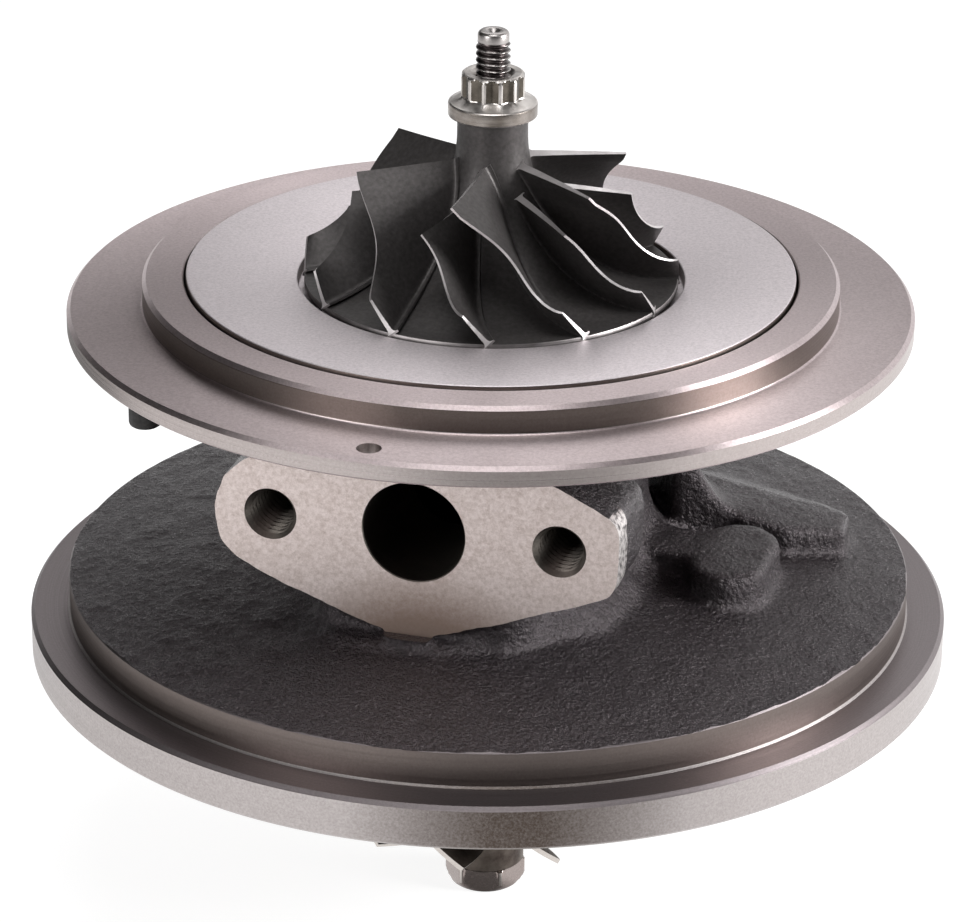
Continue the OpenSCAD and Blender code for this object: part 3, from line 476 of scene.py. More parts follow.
def housing_coats(at, facing):
    """Picks skin, step wall, rim, ledge, bore, milled face, or the drain flange's right side painted bright
    as a highlight, for each face.
    """
    x, y, z = at.T
    right, back, up = facing.T
    r = np.hypot(x, y)
    near = 0.03
    cast_skin, wall, rim, ledge, bore, milled, painted_highlight_side = range(7)
    index = np.full(len(at), cast_skin)
    index[(r > step_r - near) & (z < cone_z)] = wall
    index[(r > flange_r - 0.05) & (z < ledge_z - 0.02)] = rim
    index[(z > ledge_z - rim_break - near) & (z < ledge_z + near) & (r > step_r) & (up > 0.5)] = ledge
    index[(r > step_r - 1) & (z > cone_z - edge_break - 0.1) & (up > 0.6) & (up < 0.8)] = ledge
    corner = step_foot_r
    index[(r > step_r) & (r < step_r + corner) & (z > ledge_z + near) & (z < ledge_z + corner)] = rim
    index[(z < relief_depth + 0.1) | (z > housing_top - near)] = rim
    for hole_x, hole_r in ((-bolt_x, 4.9), (bolt_x, 4.9), (0, drain_mouth_r + 0.4)):
        index[(np.hypot(x - hole_x, z - drain_z) < hole_r) & (y < drain_end + 0.1)] = bore
    index[(np.hypot(x, z - drain_z) < 5.1) & (y > 20)] = bore
    index[(np.abs(y - drain_y) < near) & (back < -0.99)] = milled
    index[(np.abs(y - inlet_y) < near) & (back > 0.99)] = milled
    # Painted highlight: faces at the drain flange's end that face right take the bright coat.
    index[(x > 28) & (right > 0.6) & (y < drain_y + 5) & (z > drain_z - 7)] = painted_highlight_side
    return index


# The drain flange's right side, coloured bright in patches: a painted highlight where the light from the
# right falls on it
painted_highlight_edge, shader, tree = shader_of("painted_highlight_edge", (0.5, 0.46, 0.45), 0.9, 0.45)
tint(shader, grain(tree, 1.1, 5, rough=0.7), (0.08, 0.07, 0.07), (0.7, 0.66, 0.65), 0.38, 0.55)
bump(shader, grain(tree, 1.6, 3), 0.2, 0.7)
paint(housing, [
    black_casting(),
    # The step wall is coloured much darker than the rim: partly a brownish tint, partly painted shade.
    turned_iron("step_wall_shaded_iron", (0.08, 0.065, 0.058), (0.205, 0.172, 0.16), 0.38),
    # The rim is darkened around one place at its front: painted shade standing in for the dark reflection
    # there.
    turned_iron("rim_iron", (0.1, 0.077, 0.064), (0.52, 0.48, 0.475), 0.36, painted_dark_patch=((24, -67, 3), 4, 25)),
    turned_iron("ledge_iron", (0.13, 0.112, 0.115), (0.29, 0.257, 0.262), 0.4),
    turned_iron("bore_iron", (0.09, 0.078, 0.068), (0.2, 0.18, 0.16), 0.42),
    milled_iron(), painted_highlight_edge], housing_coats)
shade(housing, 24)
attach(housing, "housing")
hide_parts("bearing_housing")


# Heat shield
# A dish pressed from heat-resisting sheet, which lies on the turbine seat behind the turbine
# wheel. It is dulled and tinted by exhaust heat.
shield_t, shield_depth, shield_hole_r, shield_r = 0.8, 5.0, 11.0, 36.0


def rounded(profile, r, steps=4):
    """Breaks every corner of a closed profile with a small arc."""
    out = []
    corners = np.array(profile, float)
    for i, here in enumerate(corners):
        back, on = corners[i - 1] - here, corners[(i + 1) % len(corners)] - here
        reach = min(r, np.linalg.norm(back) * 0.45, np.linalg.norm(on) * 0.45)
        start, end = here + back / np.linalg.norm(back) * reach, here + on / np.linalg.norm(on) * reach
        for t in np.linspace(0, 1, steps):
            out.append(tuple((1 - t) ** 2 * start + 2 * t * (1 - t) * here + t ** 2 * end))
    return out


shield = lathe("shield_dish", rounded([
    (shield_hole_r, -shield_depth), (28, -shield_depth), (30, -shield_t), (shield_r, -shield_t),
    (shield_r, 0), (29.2, 0), (27.2, -shield_depth + shield_t), (shield_hole_r, -shield_depth + shield_t)],
    0.5), steps=192)
heat_tint, shader, tree = shader_of("heat_tinted_sheet", (0.24, 0.2, 0.16), 1.0, 0.45)
tint(shader, lathe_lines(tree, 0.25), (0.14, 0.11, 0.1), (0.36, 0.29, 0.2))
bump(shader, grain(tree, 1.8, 3), 0.03, 0.5)
shield.data.materials.append(heat_tint)
shade(shield)
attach(shield, "housing")
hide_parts("heat_shield")


# Turbine wheel
# An investment casting in nickel alloy, friction-welded to the shaft: nine twisted blades, a
# scooped hub, a ring carrier behind and a hexagon nose that holds it for balancing.
turbine_back, turbine_hub_z, turbine_blade_l = -7.0, -8.0, 25.5
turbine_r, turbine_exit_r, turbine_hub_r, turbine_inlet_h, exit_rake = 26.0, 22.3, 6.1, 7.5, 3.1
hexagon_z = size_of("turbine_wheel")[1]
hexagon_top, hexagon_flat_r, hexagon_land_r, hexagon_turn = hexagon_z + 3.8, 5.6, 6.38, 9.2


def blade_points(camber, first, heights, thick, steps):
    """Two grids of points, one for each side of a blade, with its foot flared into the hub."""
    stream = np.linspace(first, 1, steps)
    sides = [np.zeros((steps, len(heights), 3)) for _ in range(2)]
    d = 0.004
    for i, s in enumerate(stream):
        span = np.linalg.norm(camber(s, 1.0) - camber(s, 0.0))
        for j, h in enumerate(heights):
            t = h if h > 0.5 else h * 10 / span
            along = camber(s + d, t) - camber(s - d, t)
            normal = np.cross(along, camber(s, t + d) - camber(s, t - d))
            normal /= np.linalg.norm(normal)
            half = thick(s, t, t * span) / 2
            for side, sign in zip(sides, (-1, 1)):
                side[i, j] = camber(s, t) + normal * half * sign
    return sides


def blade_mesh(sides, turn):
    """Points, skins and cut edges of one closed blade turned about the axis."""
    c, n = math.cos(turn), math.sin(turn)
    spin = np.array([[c, n, 0], [-n, c, 0], [0, 0, 1]])
    rows, cols = sides[0].shape[:2]
    points = np.concatenate([side.reshape(-1, 3) for side in sides]) @ spin
    half = rows * cols
    skins = []
    for i in range(rows - 1):
        for j in range(cols - 1):
            a, b, e, f = i * cols + j, (i + 1) * cols + j, (i + 1) * cols + j + 1, i * cols + j + 1
            skins += [(a, b, e, f), (f + half, e + half, b + half, a + half)]
    border = [(i * cols + cols - 1, (i + 1) * cols + cols - 1) for i in range(rows - 1)]
    border += [((rows - 1) * cols + j + 1, (rows - 1) * cols + j) for j in range(cols - 1)]
    border += [(j, j + 1) for j in range(cols - 1)]
    edges = [(a, b, b + half, a + half) for a, b in border]
    back = [((i + 1) * cols, i * cols) for i in range(rows - 1)]
    skins += [(a, b, b + half, a + half) for a, b in back]
    return points, skins, edges


def bladed_wheel(name, hub, blades):
    """Joins a turned hub and blades into one piece; faces of the blades' cut edges are listed last."""
    points, faces, edge_faces = [points_of(hub)], [tuple(p.vertices) for p in hub.data.polygons], []
    count = len(points[0])
    for sides, turn in blades:
        more, skins, edges = blade_mesh(sides, turn)
        faces += [tuple(k + count for k in f) for f in skins]
        edge_faces += [tuple(k + count for k in f) for f in edges]
        points.append(more)
        count += len(more)
    bpy.data.objects.remove(hub)
    wheel = make_piece(name, np.concatenate(points), faces + edge_faces)
    return wheel, len(faces)


def polar(r, degrees, z):
    return np.array([r * math.cos(math.radians(degrees)), r * math.sin(math.radians(degrees)), z])


def turbine_hub(s):
    a = math.pi / 2 * s
    return np.array([turbine_hub_r + (turbine_r - turbine_hub_r) * (1 - math.sin(a)),
                     turbine_hub_z - turbine_blade_l * (1 - math.cos(a))])


def turbine_camber(s, t):
    e = min(max(s, 0), 1)
    past = (s - e) * 8
    a = math.pi / 2 * e
    tip_drop = turbine_blade_l - exit_rake - turbine_inlet_h
    tip = np.array([turbine_exit_r + (turbine_r - turbine_exit_r) * (1 - math.sin(a)),
                    turbine_hub_z - turbine_inlet_h - tip_drop * (1 - math.cos(a))])
    r, z = turbine_hub(e) * (1 - t) + tip * t - [0, past]
    turn = 48 * (max(turbine_hub_z - z, 0) / turbine_blade_l) ** 2.2
    return polar(r - min(past, 0), 1.1 + turn, z)


def fillet_flare(h, r):
    """How far a round root fillet stands out at height h above the hub."""
    return r - math.sqrt(max(r * r - (r - min(max(h, 0), r)) ** 2, 0))


root_heights = [-0.03, 0.0, 0.012, 0.03, 0.06, 0.1, 0.15, 0.22, 0.32, 0.45]
blade_heights = root_heights + list(np.linspace(0.55, 1, 8))
turbine_blade = blade_points(turbine_camber, 0, blade_heights,
                             lambda s, t, h: 1.5 - 0.75 * t + 2 * fillet_flare(h, 1.6), 28)
disc_r = 20
rim_s = math.asin(1 - (disc_r - turbine_hub_r) / (turbine_r - turbine_hub_r)) * 2 / math.pi
hub_curve = [tuple(turbine_hub(1 - (1 - rim_s) * i / 24)) for i in range(25)]
carrier_r, carrier_top, ring_groove_r, groove_low, groove_high = 8.0, 5.8, 7.05, 1.45, 3.25
turbine_hub_solid = lathe("turbine_hub", [
    (0, hexagon_top), (5.8, hexagon_top), (turbine_hub_r, hexagon_top + 0.3)] + hub_curve + [
    (disc_r, turbine_back - 0.3), (disc_r - 0.3, turbine_back), (9.5, turbine_back), (8.4, -6.6),
    (carrier_r, -5.5), (carrier_r, groove_low), (ring_groove_r, groove_low), (ring_groove_r, groove_high),
    (carrier_r, groove_high), (carrier_r, carrier_top - 0.3), (carrier_r - 0.3, carrier_top),
    (0, carrier_top)], steps=160)
turbine_blades = 9
turbine, first_edge = bladed_wheel("turbine_casting", turbine_hub_solid, [
    (turbine_blade, 2 * math.pi * k / turbine_blades) for k in range(turbine_blades)])
hexagon = np.arange(0, 360, 1.0)
flat_r = hexagon_flat_r / np.cos(np.radians((hexagon - hexagon_turn) % 60 - 30))
nose_h = 3.9
nose_rows = [(5.3, 0), (5.55, 0.2), (5.9, 0.55), (6.2, 0.95), (hexagon_land_r, 1.4), (hexagon_land_r, 3.7),
             (6.1, nose_h)]
nose = skin("hexagon_nose", [
    ring_of(np.minimum(flat_r, limit), hexagon_z + rise, len(hexagon)) for limit, rise in nose_rows],
    poles=((0, 0, hexagon_z), (0, 0, hexagon_z + nose_h)))
centre_hole = lathe("centre_drill", [(0, -0.5), (2.2, -0.5), (1.2, 0.7), (1.2, 0.9), (0, 2.3)], steps=64)
centre_hole.data.transform(Matrix.Translation((0, 0, hexagon_z * MM)))
cut_with(nose, centre_hole)
join(turbine, [nose])


def turbine_coats(at, facing):
    """Picks cast skin, ground edges and carrier, or the brown hexagon with its bright corners."""
    cast_skin, ground, brown = range(3)
    r, z = np.hypot(at[:, 0], at[:, 1]), at[:, 2]
    index = np.full(len(at), cast_skin)
    index[first_edge:] = ground
    index[z > turbine_back + 0.5] = ground
    index[z < hexagon_top + 0.1] = brown
    index[(r > hexagon_land_r - 0.03) & (z < hexagon_top)] = ground
    return index


cast_alloy, shader, tree = shader_of("cast_alloy", (0.12, 0.1, 0.09), 1.0, 0.5)
tint(shader, grain(tree, 0.3, 4), (0.07, 0.055, 0.048), (0.17, 0.145, 0.125))
dull(shader, grain(tree, 2.0, 3), 0.4, 0.62)
bump(shader, grain(tree, 2.4, 3), 0.05, 0.6)
paint(turbine, [cast_alloy, turned_iron("ground_alloy", (0.4, 0.36, 0.33), (0.6, 0.56, 0.53), 0.32),
                turned_iron("hexagon_alloy", (0.16, 0.125, 0.11), (0.36, 0.31, 0.295), 0.2)], turbine_coats)
shade(turbine, 32)
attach(turbine, "rotor")
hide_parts("turbine_wheel")


# Bearings and rings inside the housing
# Bronze floating bushes and thrust plate, ground steel collar and sleeve, split spring rings, steel
# pins, a pressed baffle and two rubber rings. They keep the solids' own shapes.
def turned_metal(name, dark, light, roughness, per_mm=5.0):
    """A turned or ground metal with fine tool marks round the axis."""
    coat, shader, tree = shader_of(name, light, 1.0, roughness)
    tint(shader, grain(tree, 0.4, 3), dark, light)
    dull(shader, lathe_lines(tree, per_mm), roughness - 0.08, roughness + 0.1)
    bump(shader, lathe_lines(tree, per_mm), 0.012, 0.4)
    return coat


bronze = turned_metal("turned_bronze", (0.36, 0.21, 0.07), (0.52, 0.33, 0.13), 0.3)
ground_steel = turned_metal("ground_steel", (0.4, 0.39, 0.37), (0.56, 0.55, 0.53), 0.24)
spring_steel = turned_metal("spring_steel", (0.13, 0.13, 0.14), (0.24, 0.24, 0.25), 0.36)
pressed_steel = turned_metal("pressed_sheet", (0.38, 0.38, 0.37), (0.5, 0.5, 0.48), 0.4, 1.2)
moulded_rubber, shader, tree = shader_of("moulded_rubber", (0.012, 0.012, 0.012), 0.0, 0.6)
tint(shader, grain(tree, 1.0, 3), (0.008, 0.008, 0.008), (0.02, 0.02, 0.02))
bump(shader, grain(tree, 4.0, 2), 0.02, 0.4)
for coat, node_names in (
        (bronze, ("turbine_journal_bearing", "compressor_journal_bearing", "thrust_bearing")),
        (ground_steel, ("thrust_bearing_pins", "thrust_collar", "seal_sleeve")),
        (spring_steel, ("compressor_seal_ring", "turbine_seal_ring", "bearing_retaining_rings")),
        (pressed_steel, ("oil_baffle",)),
        (moulded_rubber, ("seal_plate_o_ring", "flange_o_ring"))):
    for node_name in node_names:
        for holder in frame["nodes"][node_name].material_slots:
            holder.material = coat


# Backing flange
# A steel ring turned all over: flat outer flange, and a raised register that centres the
# compressor housing. It is clamped to the housing's shoulder, and has one locating hole.
backing_r, _, register_top = size_of("backing_flange")
flange_top = fits["compressor_flange_face"]["pos_m"][2] / MM
register_r, plate_pocket_r, lip_top = fits["compressor_register"]["dims"]["r_mm"], 46.4, flange_top - 0.5
rim_bevel, register_bevel, wall_foot_r = 0.6, 0.6, 0.4
flange_bore_r, ring_groove, ring_groove_depth = 21.3, (41.1, 42.9), 1.44
backing = lathe("backing_ring", [
    (flange_bore_r, housing_top), (backing_r - 0.3, housing_top), (backing_r, housing_top + 0.3),
    (backing_r, flange_top - rim_bevel), (backing_r - rim_bevel, flange_top)]
    + arc(register_r + wall_foot_r, flange_top + wall_foot_r, wall_foot_r, 270, 180, 5) + [
    (register_r, register_top - register_bevel), (register_r - register_bevel, register_top),
    (plate_pocket_r + 0.2, register_top), (plate_pocket_r, register_top - 0.2), (plate_pocket_r, lip_top),
    (ring_groove[1], lip_top), (ring_groove[1], lip_top - ring_groove_depth),
    (ring_groove[0], lip_top - ring_groove_depth), (ring_groove[0], lip_top), (flange_bore_r, lip_top)],
    steps=384)


def drill(piece, name, at, r, high):
    """Drills a piece from below, up to a level."""
    cut_with(piece, post(name, at[0], at[1], r, 50, high, steps=40))


drill(backing, "locating_drill", (0, -60), fits["locating_hole"]["dims"]["r_mm"], 60)
dowel_at, dowel_r, dowel_top = polar(60, 230, 0), 2.4, 55.1
drill(backing, "dowel_drill", dowel_at, dowel_r + 0.02, dowel_top)
bolt_places = [polar(33, a, 0) for a in (-15, 60, 120, 195)]
for at in bolt_places:
    drill(backing, "bolt_drill", at, 2.7, 60)


def satin_steel(name, dark, light, roughness, turned_grain=0.6):
    """Turned steel with a fine etched speck, whose tool marks spread light across them."""
    coat, shader, tree = shader_of(name, light, 1.0, roughness)
    shader.inputs["Anisotropic"].default_value = turned_grain
    shader.inputs["Anisotropic Rotation"].default_value = 0.25
    round_axis = add(tree, "Tangent", direction_type="RADIAL", axis="Z")
    tree.links.new(round_axis.outputs[0], shader.inputs["Tangent"])
    tint(shader, grain(tree, 2.2, 6, rough=0.75), dark, light, 0.3, 0.6)
    dull(shader, grain(tree, 1.5, 3), roughness - 0.03, roughness + 0.03)
    bump(shader, grain(tree, 3.5, 3), 0.03, 0.4)
    bump(shader, lathe_lines(tree, 4.0), 0.012, 0.3)
    return coat


plate_steel = satin_steel("satin_plate_steel", (0.47, 0.39, 0.395), (0.64, 0.55, 0.555), 0.4, 0.75)
# The walls are coloured much darker than the plates' tops: partly a brownish tint, partly painted shade.
shaded_wall_steel = turned_iron("register_wall_steel", (0.08, 0.064, 0.055), (0.21, 0.178, 0.162), 0.34)
rim_steel = turned_iron("flange_rim_steel", (0.2, 0.165, 0.15), (0.48, 0.43, 0.42), 0.34)
paint(backing, [plate_steel, shaded_wall_steel, rim_steel], lambda at, facing: np.where(
    np.abs(facing[:, 2]) > 0.5, 0, np.where(np.hypot(at[:, 0], at[:, 1]) > 58, 2, 1)))
shade(backing)
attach(backing, "housing")
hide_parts("backing_flange")


# Seal plate
# A turned steel plate let into the register, with a recess for the compressor wheel and a spigot
# below that closes the thrust bearing's pocket. Four bolts hold it from below.
plate_r, spigot_low, plate_top = size_of("seal_plate")
recess_r, recess_edge, recess_floor, edge_r = 29.2, plate_top - 1.1, 57.8, 0.35
plate_bore_r, web_low, spigot_wall_r, plate_spigot_r = 7.9, 50.5, 17.2, 20.9
spigot_groove_r, spigot_groove = 19.46, (51.1, 52.9)
bolt_tip = recess_edge - 0.8
plate = lathe("seal_disc", rounded([
    (plate_bore_r, web_low), (spigot_wall_r, web_low), (spigot_wall_r, spigot_low),
    (plate_spigot_r, spigot_low), (plate_spigot_r, spigot_groove[0]), (spigot_groove_r, spigot_groove[0]),
    (spigot_groove_r, spigot_groove[1]), (plate_spigot_r, spigot_groove[1]), (plate_spigot_r, lip_top),
    (plate_r, lip_top), (plate_r, plate_top), (recess_r, recess_edge), (recess_r, recess_floor),
    (plate_bore_r, recess_floor)], edge_r), steps=384)
for at in bolt_places:
    drill(plate, "bolt_tap", at, 2.52, bolt_tip + 0.02)
seal_steel = satin_steel("satin_seal_steel", (0.58, 0.53, 0.545), (0.77, 0.71, 0.73), 0.48, 0.4)
# The seal plate's sides take the darker wall coat: partly painted shade.
paint(plate, [seal_steel, shaded_wall_steel], lambda at, facing: (np.abs(facing[:, 2]) < 0.4).astype(int))
shade(plate)
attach(plate, "housing")
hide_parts("seal_plate")


# Seal plate bolts and flange dowel
# Four hexagon bolts go up through the shoulder and the flange into the seal plate. The dowel is a
# black round pin pressed into the flange from below.
bolt_steel = turned_metal("rolled_bolt_steel", (0.24, 0.24, 0.25), (0.38, 0.38, 0.39), 0.34, 2.0)
turn = np.radians(np.arange(0, 360, 3.0))
hex_r = 4.0 / np.cos((np.degrees(turn) + 30) % 60 / 180 * math.pi - math.pi / 6)
head_low, washer_r, bolt_r = shoulder_z - 3.5, 3.95, 2.5
bolt_rows = [(np.minimum(hex_r, 3.9), head_low), (np.minimum(hex_r, 4.35), head_low + 0.25),
             (hex_r, head_low + 0.6), (hex_r, shoulder_z - 0.2), (washer_r, shoulder_z - 0.2),
             (washer_r, shoulder_z), (bolt_r, shoulder_z), (bolt_r, bolt_tip - 0.4), (bolt_r - 0.4, bolt_tip)]
bolts = [skin("bolt", [ring_of(r, z, len(turn)) + [at[0], at[1], 0] for r, z in bolt_rows],
              poles=((at[0], at[1], head_low), (at[0], at[1], bolt_tip))) for at in bolt_places]
join(bolts[0], bolts[1:])
clamp_bolts = bolts[0]
clamp_bolts.name = "clamp_bolts"
clamp_bolts.data.materials.append(bolt_steel)
shade(clamp_bolts)
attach(clamp_bolts, "housing")
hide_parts("seal_plate_bolts")

dowel_low = 48.9
dowel_rows = [(1.6, dowel_low), (1.95, dowel_low + 0.08), (2.25, dowel_low + 0.3), (dowel_r, dowel_low + 0.7),
              (dowel_r, dowel_top)]
dowel = skin("round_dowel", [ring_of(r, z, 48) + [dowel_at[0], dowel_at[1], 0] for r, z in dowel_rows],
             poles=[(dowel_at[0], dowel_at[1], z) for z in (dowel_low, dowel_top)])
black_oxide, shader, tree = shader_of("black_oxide", (0.02, 0.02, 0.02), 0.6, 0.4)
tint(shader, grain(tree, 1.5, 3), (0.012, 0.012, 0.012), (0.035, 0.033, 0.032))
bump(shader, grain(tree, 3.0, 3), 0.02, 0.4)
dowel.data.materials.append(black_oxide)
shade(dowel)
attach(dowel, "housing")
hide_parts("flange_dowel")


# Rotor shaft
# Hardened steel, ground at the journals and threaded at its upper end for the nut. The thread runs
# against the shaft's turn, and the tip is plain with a centre hole.
thread_r, thread_pitch, thread_depth = 2.6, 1.0, 0.5
journal_r, journal_top, stem_r, tip_r = 4.0, 39.4, 2.75, 2.35
steps = 96
share_of_turn = np.linspace(0, 1, steps, endpoint=False)
_, shaft_foot, shaft_tip = size_of("rotor_shaft")
wheel_top = size_of("compressor_wheel")[2]
thread_start, thread_end = wheel_top - 0.6, shaft_tip - 1.55
shaft_rings = [ring_of(r, z, steps) for r, z in (
    (journal_r, shaft_foot), (journal_r, journal_top - 0.4), (journal_r - 0.4, journal_top),
    (stem_r, journal_top), (stem_r, thread_start), (thread_r, thread_start + 0.1))]
for z in np.arange(thread_start + 0.2, thread_end, 0.0625):
    wave = np.abs((z / thread_pitch + share_of_turn) % 1 - 0.5) * 2
    run_out = min(1.0, (thread_end - z) / 0.7)
    shaft_rings.append(ring_of(thread_r - thread_depth * np.clip(wave * 1.25 - 0.1, 0, 1) * run_out
                               - 0.25 * (1 - run_out), z, steps))
shaft_rings += [ring_of(r, shaft_tip - drop, steps) for r, drop in (
    (tip_r, 1.45), (tip_r, 0.5), (2.2, 0.2), (1.9, 0), (1.2, 0), (1.05, 0.1), (0.4, 0.75))]
shaft = skin("shaft_steel", shaft_rings, poles=((0, 0, shaft_foot), (0, 0, shaft_tip - 1)))


def shaft_coats(at, facing):
    """Picks ground steel below the nut, dark thread flanks, or bright crests and tip."""
    r, z = np.hypot(at[:, 0], at[:, 1]), at[:, 2]
    ground, rolled, dark_root = range(3)
    index = np.full(len(at), ground)
    index[z > thread_start] = rolled
    index[(z > thread_start) & (z < thread_end) & (r < thread_r - 0.12)] = dark_root
    return index


# The thread's roots are coloured darker than its crests.
paint(shaft, [ground_steel, turned_metal("rolled_thread_steel", (0.3, 0.28, 0.27), (0.5, 0.47, 0.46), 0.34),
              turned_metal("dark_thread_root_steel", (0.06, 0.05, 0.05), (0.14, 0.12, 0.118), 0.3)], shaft_coats)
shade(shaft, 40)
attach(shaft, "rotor")
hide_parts("rotor_shaft")


# Compressor wheel
# Cast in aluminium with a charcoal skin, six full blades and six splitters. The blade tips, the
# outlet edges and the disc's rim are turned after casting and show as bright lines.
exducer_r, disc_back, wheel_top = size_of("compressor_wheel")
outlet_z, blade_inlet_z, hub_top = disc_back + 1.5, wheel_top - 7.7, wheel_top - 2.7
inducer_r, nose_r, wheel_bore_r, blade_rise, blade_pairs = 20.7, 5.3, 2.77, 13.6, 6
inlet_turn = math.asin((hub_top - blade_inlet_z - 1) / (hub_top - outlet_z))


def hub_at(turn):
    return (nose_r + (exducer_r - nose_r) * (1 - math.cos(turn)),
            hub_top - (hub_top - outlet_z) * math.sin(turn))


def compressor_camber(s, t):
    e = min(max(s, 0), 1)
    past = (s - e) * 8
    hub = hub_at(inlet_turn + (math.pi / 2 - inlet_turn) * e)
    tip = (exducer_r - (exducer_r - inducer_r) * max(math.cos(math.pi / 2 * e), 0) ** 1.25,
           blade_inlet_z - blade_rise * math.sin(math.pi / 2 * e) ** 0.69)
    r, z = (h + (p - h) * t for h, p in zip(hub, tip))
    wrap = 17 * s + 21.3 * (1 - (1 - e) ** 7.9)
    lean = (2.9 + 4.8 * e) * (1 - t)
    return polar(r + past, 149.6 + wrap + lean, z)


def compressor_thickness(s, t, h):
    return 1.15 - 0.79 * t - 0.45 * max(s, 0) * (1 - t) + 2 * fillet_flare(h, 0.7)


full_blade = blade_points(compressor_camber, 0, blade_heights, compressor_thickness, 44)
splitter = blade_points(compressor_camber, 0.14, blade_heights, compressor_thickness, 38)
wheel_hub = lathe("wheel_hub", [
    (wheel_bore_r, disc_back), (12, disc_back), (exducer_r - 0.25, disc_back + 0.45),
    (exducer_r, disc_back + 0.6), (exducer_r, outlet_z - 0.15), (exducer_r - 0.1, outlet_z)]
    + [hub_at(math.pi / 2 * i / 40) for i in range(39, -1, -1)]
    + [(nose_r, wheel_top - 0.3), (nose_r - 0.3, wheel_top), (wheel_bore_r, wheel_top)], steps=288)
blades = [(blade, 2 * math.pi * (k + shift) / blade_pairs)
          for blade, shift in ((full_blade, 0), (splitter, 0.5)) for k in range(blade_pairs)]
wheel, first_edge = bladed_wheel("compressor_casting", wheel_hub, blades)


def wheel_coats(at, facing):
    """Picks charcoal skin, bright blade edges or the disc's turned rim."""
    cast_skin, edge, rim = range(3)
    index = np.full(len(at), cast_skin)
    index[first_edge:] = edge
    index[(np.hypot(at[:, 0], at[:, 1]) > exducer_r - 0.15) & (at[:, 2] < outlet_z + 0.01)] = rim
    return index


charcoal, shader, tree = shader_of("charcoal_casting", (0.085, 0.078, 0.078), 0.6, 0.46)
tint(shader, grain(tree, 1.5, 4), (0.056, 0.051, 0.05), (0.088, 0.081, 0.08))
dull(shader, grain(tree, 2.0, 4), 0.42, 0.52)
bump(shader, grain(tree, 4.0, 3), 0.02, 0.4)
blade_edge = turned_metal("turned_blade_edge", (0.54, 0.51, 0.51), (0.7, 0.67, 0.67), 0.48)
disc_rim = turned_metal("turned_disc_rim", (0.24, 0.22, 0.22), (0.36, 0.335, 0.335), 0.44)
paint(wheel, [charcoal, blade_edge, disc_rim], wheel_coats)
shade(wheel, 38)
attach(wheel, "rotor")
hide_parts("compressor_wheel")


# Shaft nut
# A flanged nut with a twelve-point drive, zinc plated, screwed down on the wheel's nose. Its
# thread mouth is countersunk.
turn = np.degrees(np.linspace(0, 2 * math.pi, 288, endpoint=False))
drive_flat_r, drive_tip_r, nut_bore_r = 4.287, 4.86, 2.62
hexagons = [drive_flat_r / np.cos(np.radians((turn + shift) % 60 - 30)) for shift in (0, 30)]
drive = np.minimum(np.maximum(*hexagons), drive_tip_r)
drive = sum(np.roll(drive, k) for k in range(-2, 3)) / 5
nut_r, nut_base, _ = size_of("shaft_nut")
nut_rows = [(nut_bore_r, 0), (nut_r - 0.2, 0), (nut_r - 0.06, 0.06), (nut_r, 0.2), (nut_r, 1.7),
            (nut_r - 0.06, 1.95), (nut_r - 0.25, 2.1), (nut_r - 0.5, 2.16),
            (np.maximum(5.05, drive + 0.1), 2.82), (drive + 0.08, 2.98), (drive, 3.15), (drive, 5.95),
            (np.minimum(drive, 4.72), 6.3), (np.minimum(drive, 4.5), 6.5), (np.minimum(drive, 4.3), 6.6),
            (3.4, 6.6), (3.3, 6.56), (nut_bore_r + 0.04, 5.9), (nut_bore_r, 5.8)]
nut = skin("twelve_point_nut", [ring_of(r, nut_base + rise, len(turn)) for r, rise in nut_rows], closed=True)
plated, shader, tree = shader_of("zinc_plating", (0.62, 0.6, 0.54), 1.0, 0.2)
tint(shader, grain(tree, 0.35, 3), (0.5, 0.465, 0.44), (0.68, 0.645, 0.62))
dull(shader, grain(tree, 1.5, 4), 0.28, 0.44)
bump(shader, grain(tree, 2.0, 3), 0.02, 0.3)
# The drive's flats and the rim's side take darker copies of the plating: painted shade and dark reflection.
shaded_flat_plating = turned_metal("flats_painted_shade", (0.05, 0.043, 0.035), (0.13, 0.113, 0.095), 0.2)
rim_plating = turned_metal("rim_plating", (0.15, 0.128, 0.11), (0.27, 0.243, 0.225), 0.24)


def nut_coats(at, facing):
    """Picks bright plating for tops and corners, darker plating for the drive's flats, or the rim's; the
    darker flats and rim are painted shade and dark reflection.
    """
    r, wall = np.hypot(at[:, 0], at[:, 1]), np.abs(facing[:, 2]) < 0.3
    return np.where(wall & (r < drive_tip_r - 0.1), 1, np.where(wall & (r > nut_r - 0.1), 2, 0))


paint(nut, [plated, shaded_flat_plating, rim_plating], nut_coats)
shade(nut, 22)
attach(nut, "rotor")
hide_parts("shaft_nut")


# Floor, light and camera
# A pale floor and backdrop, five soft lights, and a camera at the photograph's angle. The metal
# mirrors a bright horizon and right side, and dimmer places on the floor in front and at the left.
floor_half = 1500
floor = make_piece("floor", [(x * floor_half, y * floor_half, hexagon_z) for x, y in (
    (-1, -1), (1, -1), (1, 1), (-1, 1))], [(0, 1, 2, 3)])
pale, shader, tree = shader_of("pale_floor", (0.3, 0.3, 0.3), 0.0, 0.9)
rays = add(tree, "LightPath").outputs
mirrored = reckon(tree, "MAXIMUM", rays["Is Glossy Ray"], rays["Is Transmission Ray"])
for dim_place, near, far in (
        ((141, -265, 0), 110, 200), ((-265, 110, hexagon_z), 90, 165), ((4, -11, hexagon_z), 6, 11)):
    mirrored = fade_near(tree, mirrored, dim_place, near, far)
seen = reckon(tree, "MULTIPLY", rays["Is Camera Ray"], 0.85)
glow = add(tree, "Emission", {"Strength": reckon(tree, "MAXIMUM", seen, mirrored)})
both = add(tree, "AddShader", {0: shader.outputs[0], 1: glow.outputs[0]})
tree.links.new(both.outputs[0], tree.nodes["Material Output"].inputs["Surface"])
floor.data.materials.append(pale)

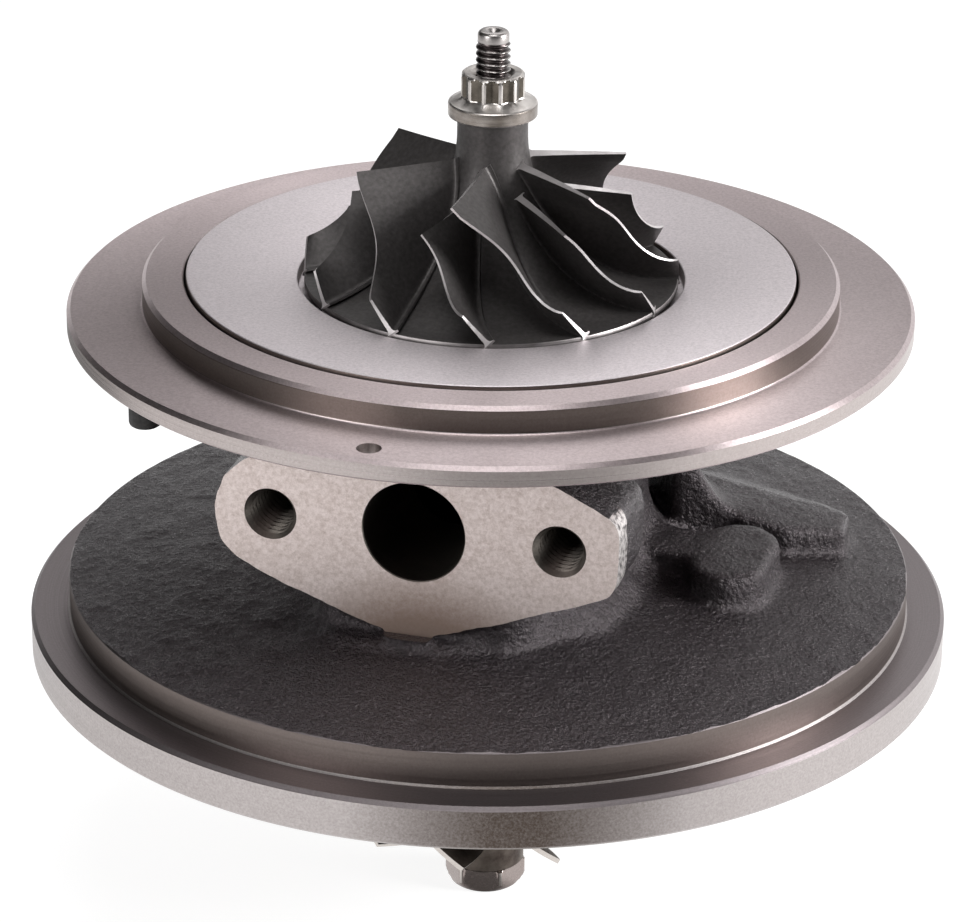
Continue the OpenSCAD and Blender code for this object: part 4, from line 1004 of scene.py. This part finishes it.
world = bpy.data.worlds.new("studio")
world.use_nodes = True
tree = world.node_tree
rays = add(tree, "LightPath").outputs
direction = add(tree, "TexCoord").outputs["Generated"]
aside = add(tree, "VectorMath", {0: direction, 1: (0.77, 0, 0.64)}, operation="DOT_PRODUCT")
aside = spread(tree, aside.outputs["Value"], 0.03, 1.0, 0.02, 0.24)
_, depth, height = add(tree, "SeparateXYZ", {0: direction}).outputs
behind = spread(tree, depth, 0.03, 1.0, 0.45, 0.75)
horizon = spread(tree, height, 1.0, 0.0, 0.08, 0.26)
backdrop = reckon(tree, "MULTIPLY", reckon(tree, "MAXIMUM", aside, horizon), behind)
mirrored = reckon(tree, "MAXIMUM", rays["Is Glossy Ray"], rays["Is Transmission Ray"])
seen = reckon(tree, "MAXIMUM", rays["Is Camera Ray"], reckon(tree, "MULTIPLY", mirrored, backdrop))
light = reckon(tree, "MAXIMUM", seen, reckon(tree, "MULTIPLY", rays["Is Diffuse Ray"], 0.13))
tree.links.new(light, tree.nodes["Background"].inputs["Strength"])
tree.nodes["Background"].inputs["Color"].default_value = (1, 1, 1, 1)
bpy.context.scene.world = world

for name, at, aim_z, size, watts in (
        ("top_softbox", (0.05, -0.2, 0.95), 0.05, 0.5, 3),
        ("right_softbox", (0.86, 0.1, 0.34), 0.03, 0.4, 11),
        ("front_left_softbox", (-0.41, -0.71, 0.36), 0.03, 0.4, 3),
        ("back_left_softbox", (-0.365, 0.687, 0.778), 0.05, 0.5, 0.8),
        ("back_right_softbox", (0.055, 0.629, 0.9), 0.05, 0.5, 0.7)):
    lamp = bpy.data.lights.new(name, "AREA")
    lamp.size, lamp.energy = size, watts
    softbox = put_in_scene(name, lamp)
    softbox.location = at
    softbox.rotation_euler = (Vector((0, 0, aim_z)) - Vector(at)).to_track_quat("-Z", "Y").to_euler()

image_width = 973
camera_data = bpy.data.cameras.new("photo_camera")
camera = put_in_scene("photo_camera", camera_data)
aim, distance = Vector((0, 0, 29.105)) * MM, 655.62 * MM
azimuth, elevation, roll = (math.radians(v) for v in (16.21, 23.747, 0.583))
level = math.cos(elevation)
away = Vector((level * math.sin(azimuth), -level * math.cos(azimuth), math.sin(elevation)))
turn_to = (-away).to_track_quat("-Z", "Y").to_matrix() @ Matrix.Rotation(roll, 3, "Z")
camera.matrix_world = Matrix.Translation(aim + away * distance) @ turn_to.to_4x4()
camera_data.sensor_width = 36
camera_data.lens = 4258.9 * camera_data.sensor_width / image_width
camera_data.shift_x = -2.74 / image_width
camera_data.clip_start, camera_data.clip_end = 0.01, 20
bpy.context.scene.camera = camera
bpy.context.scene.view_settings.view_transform = "Standard"
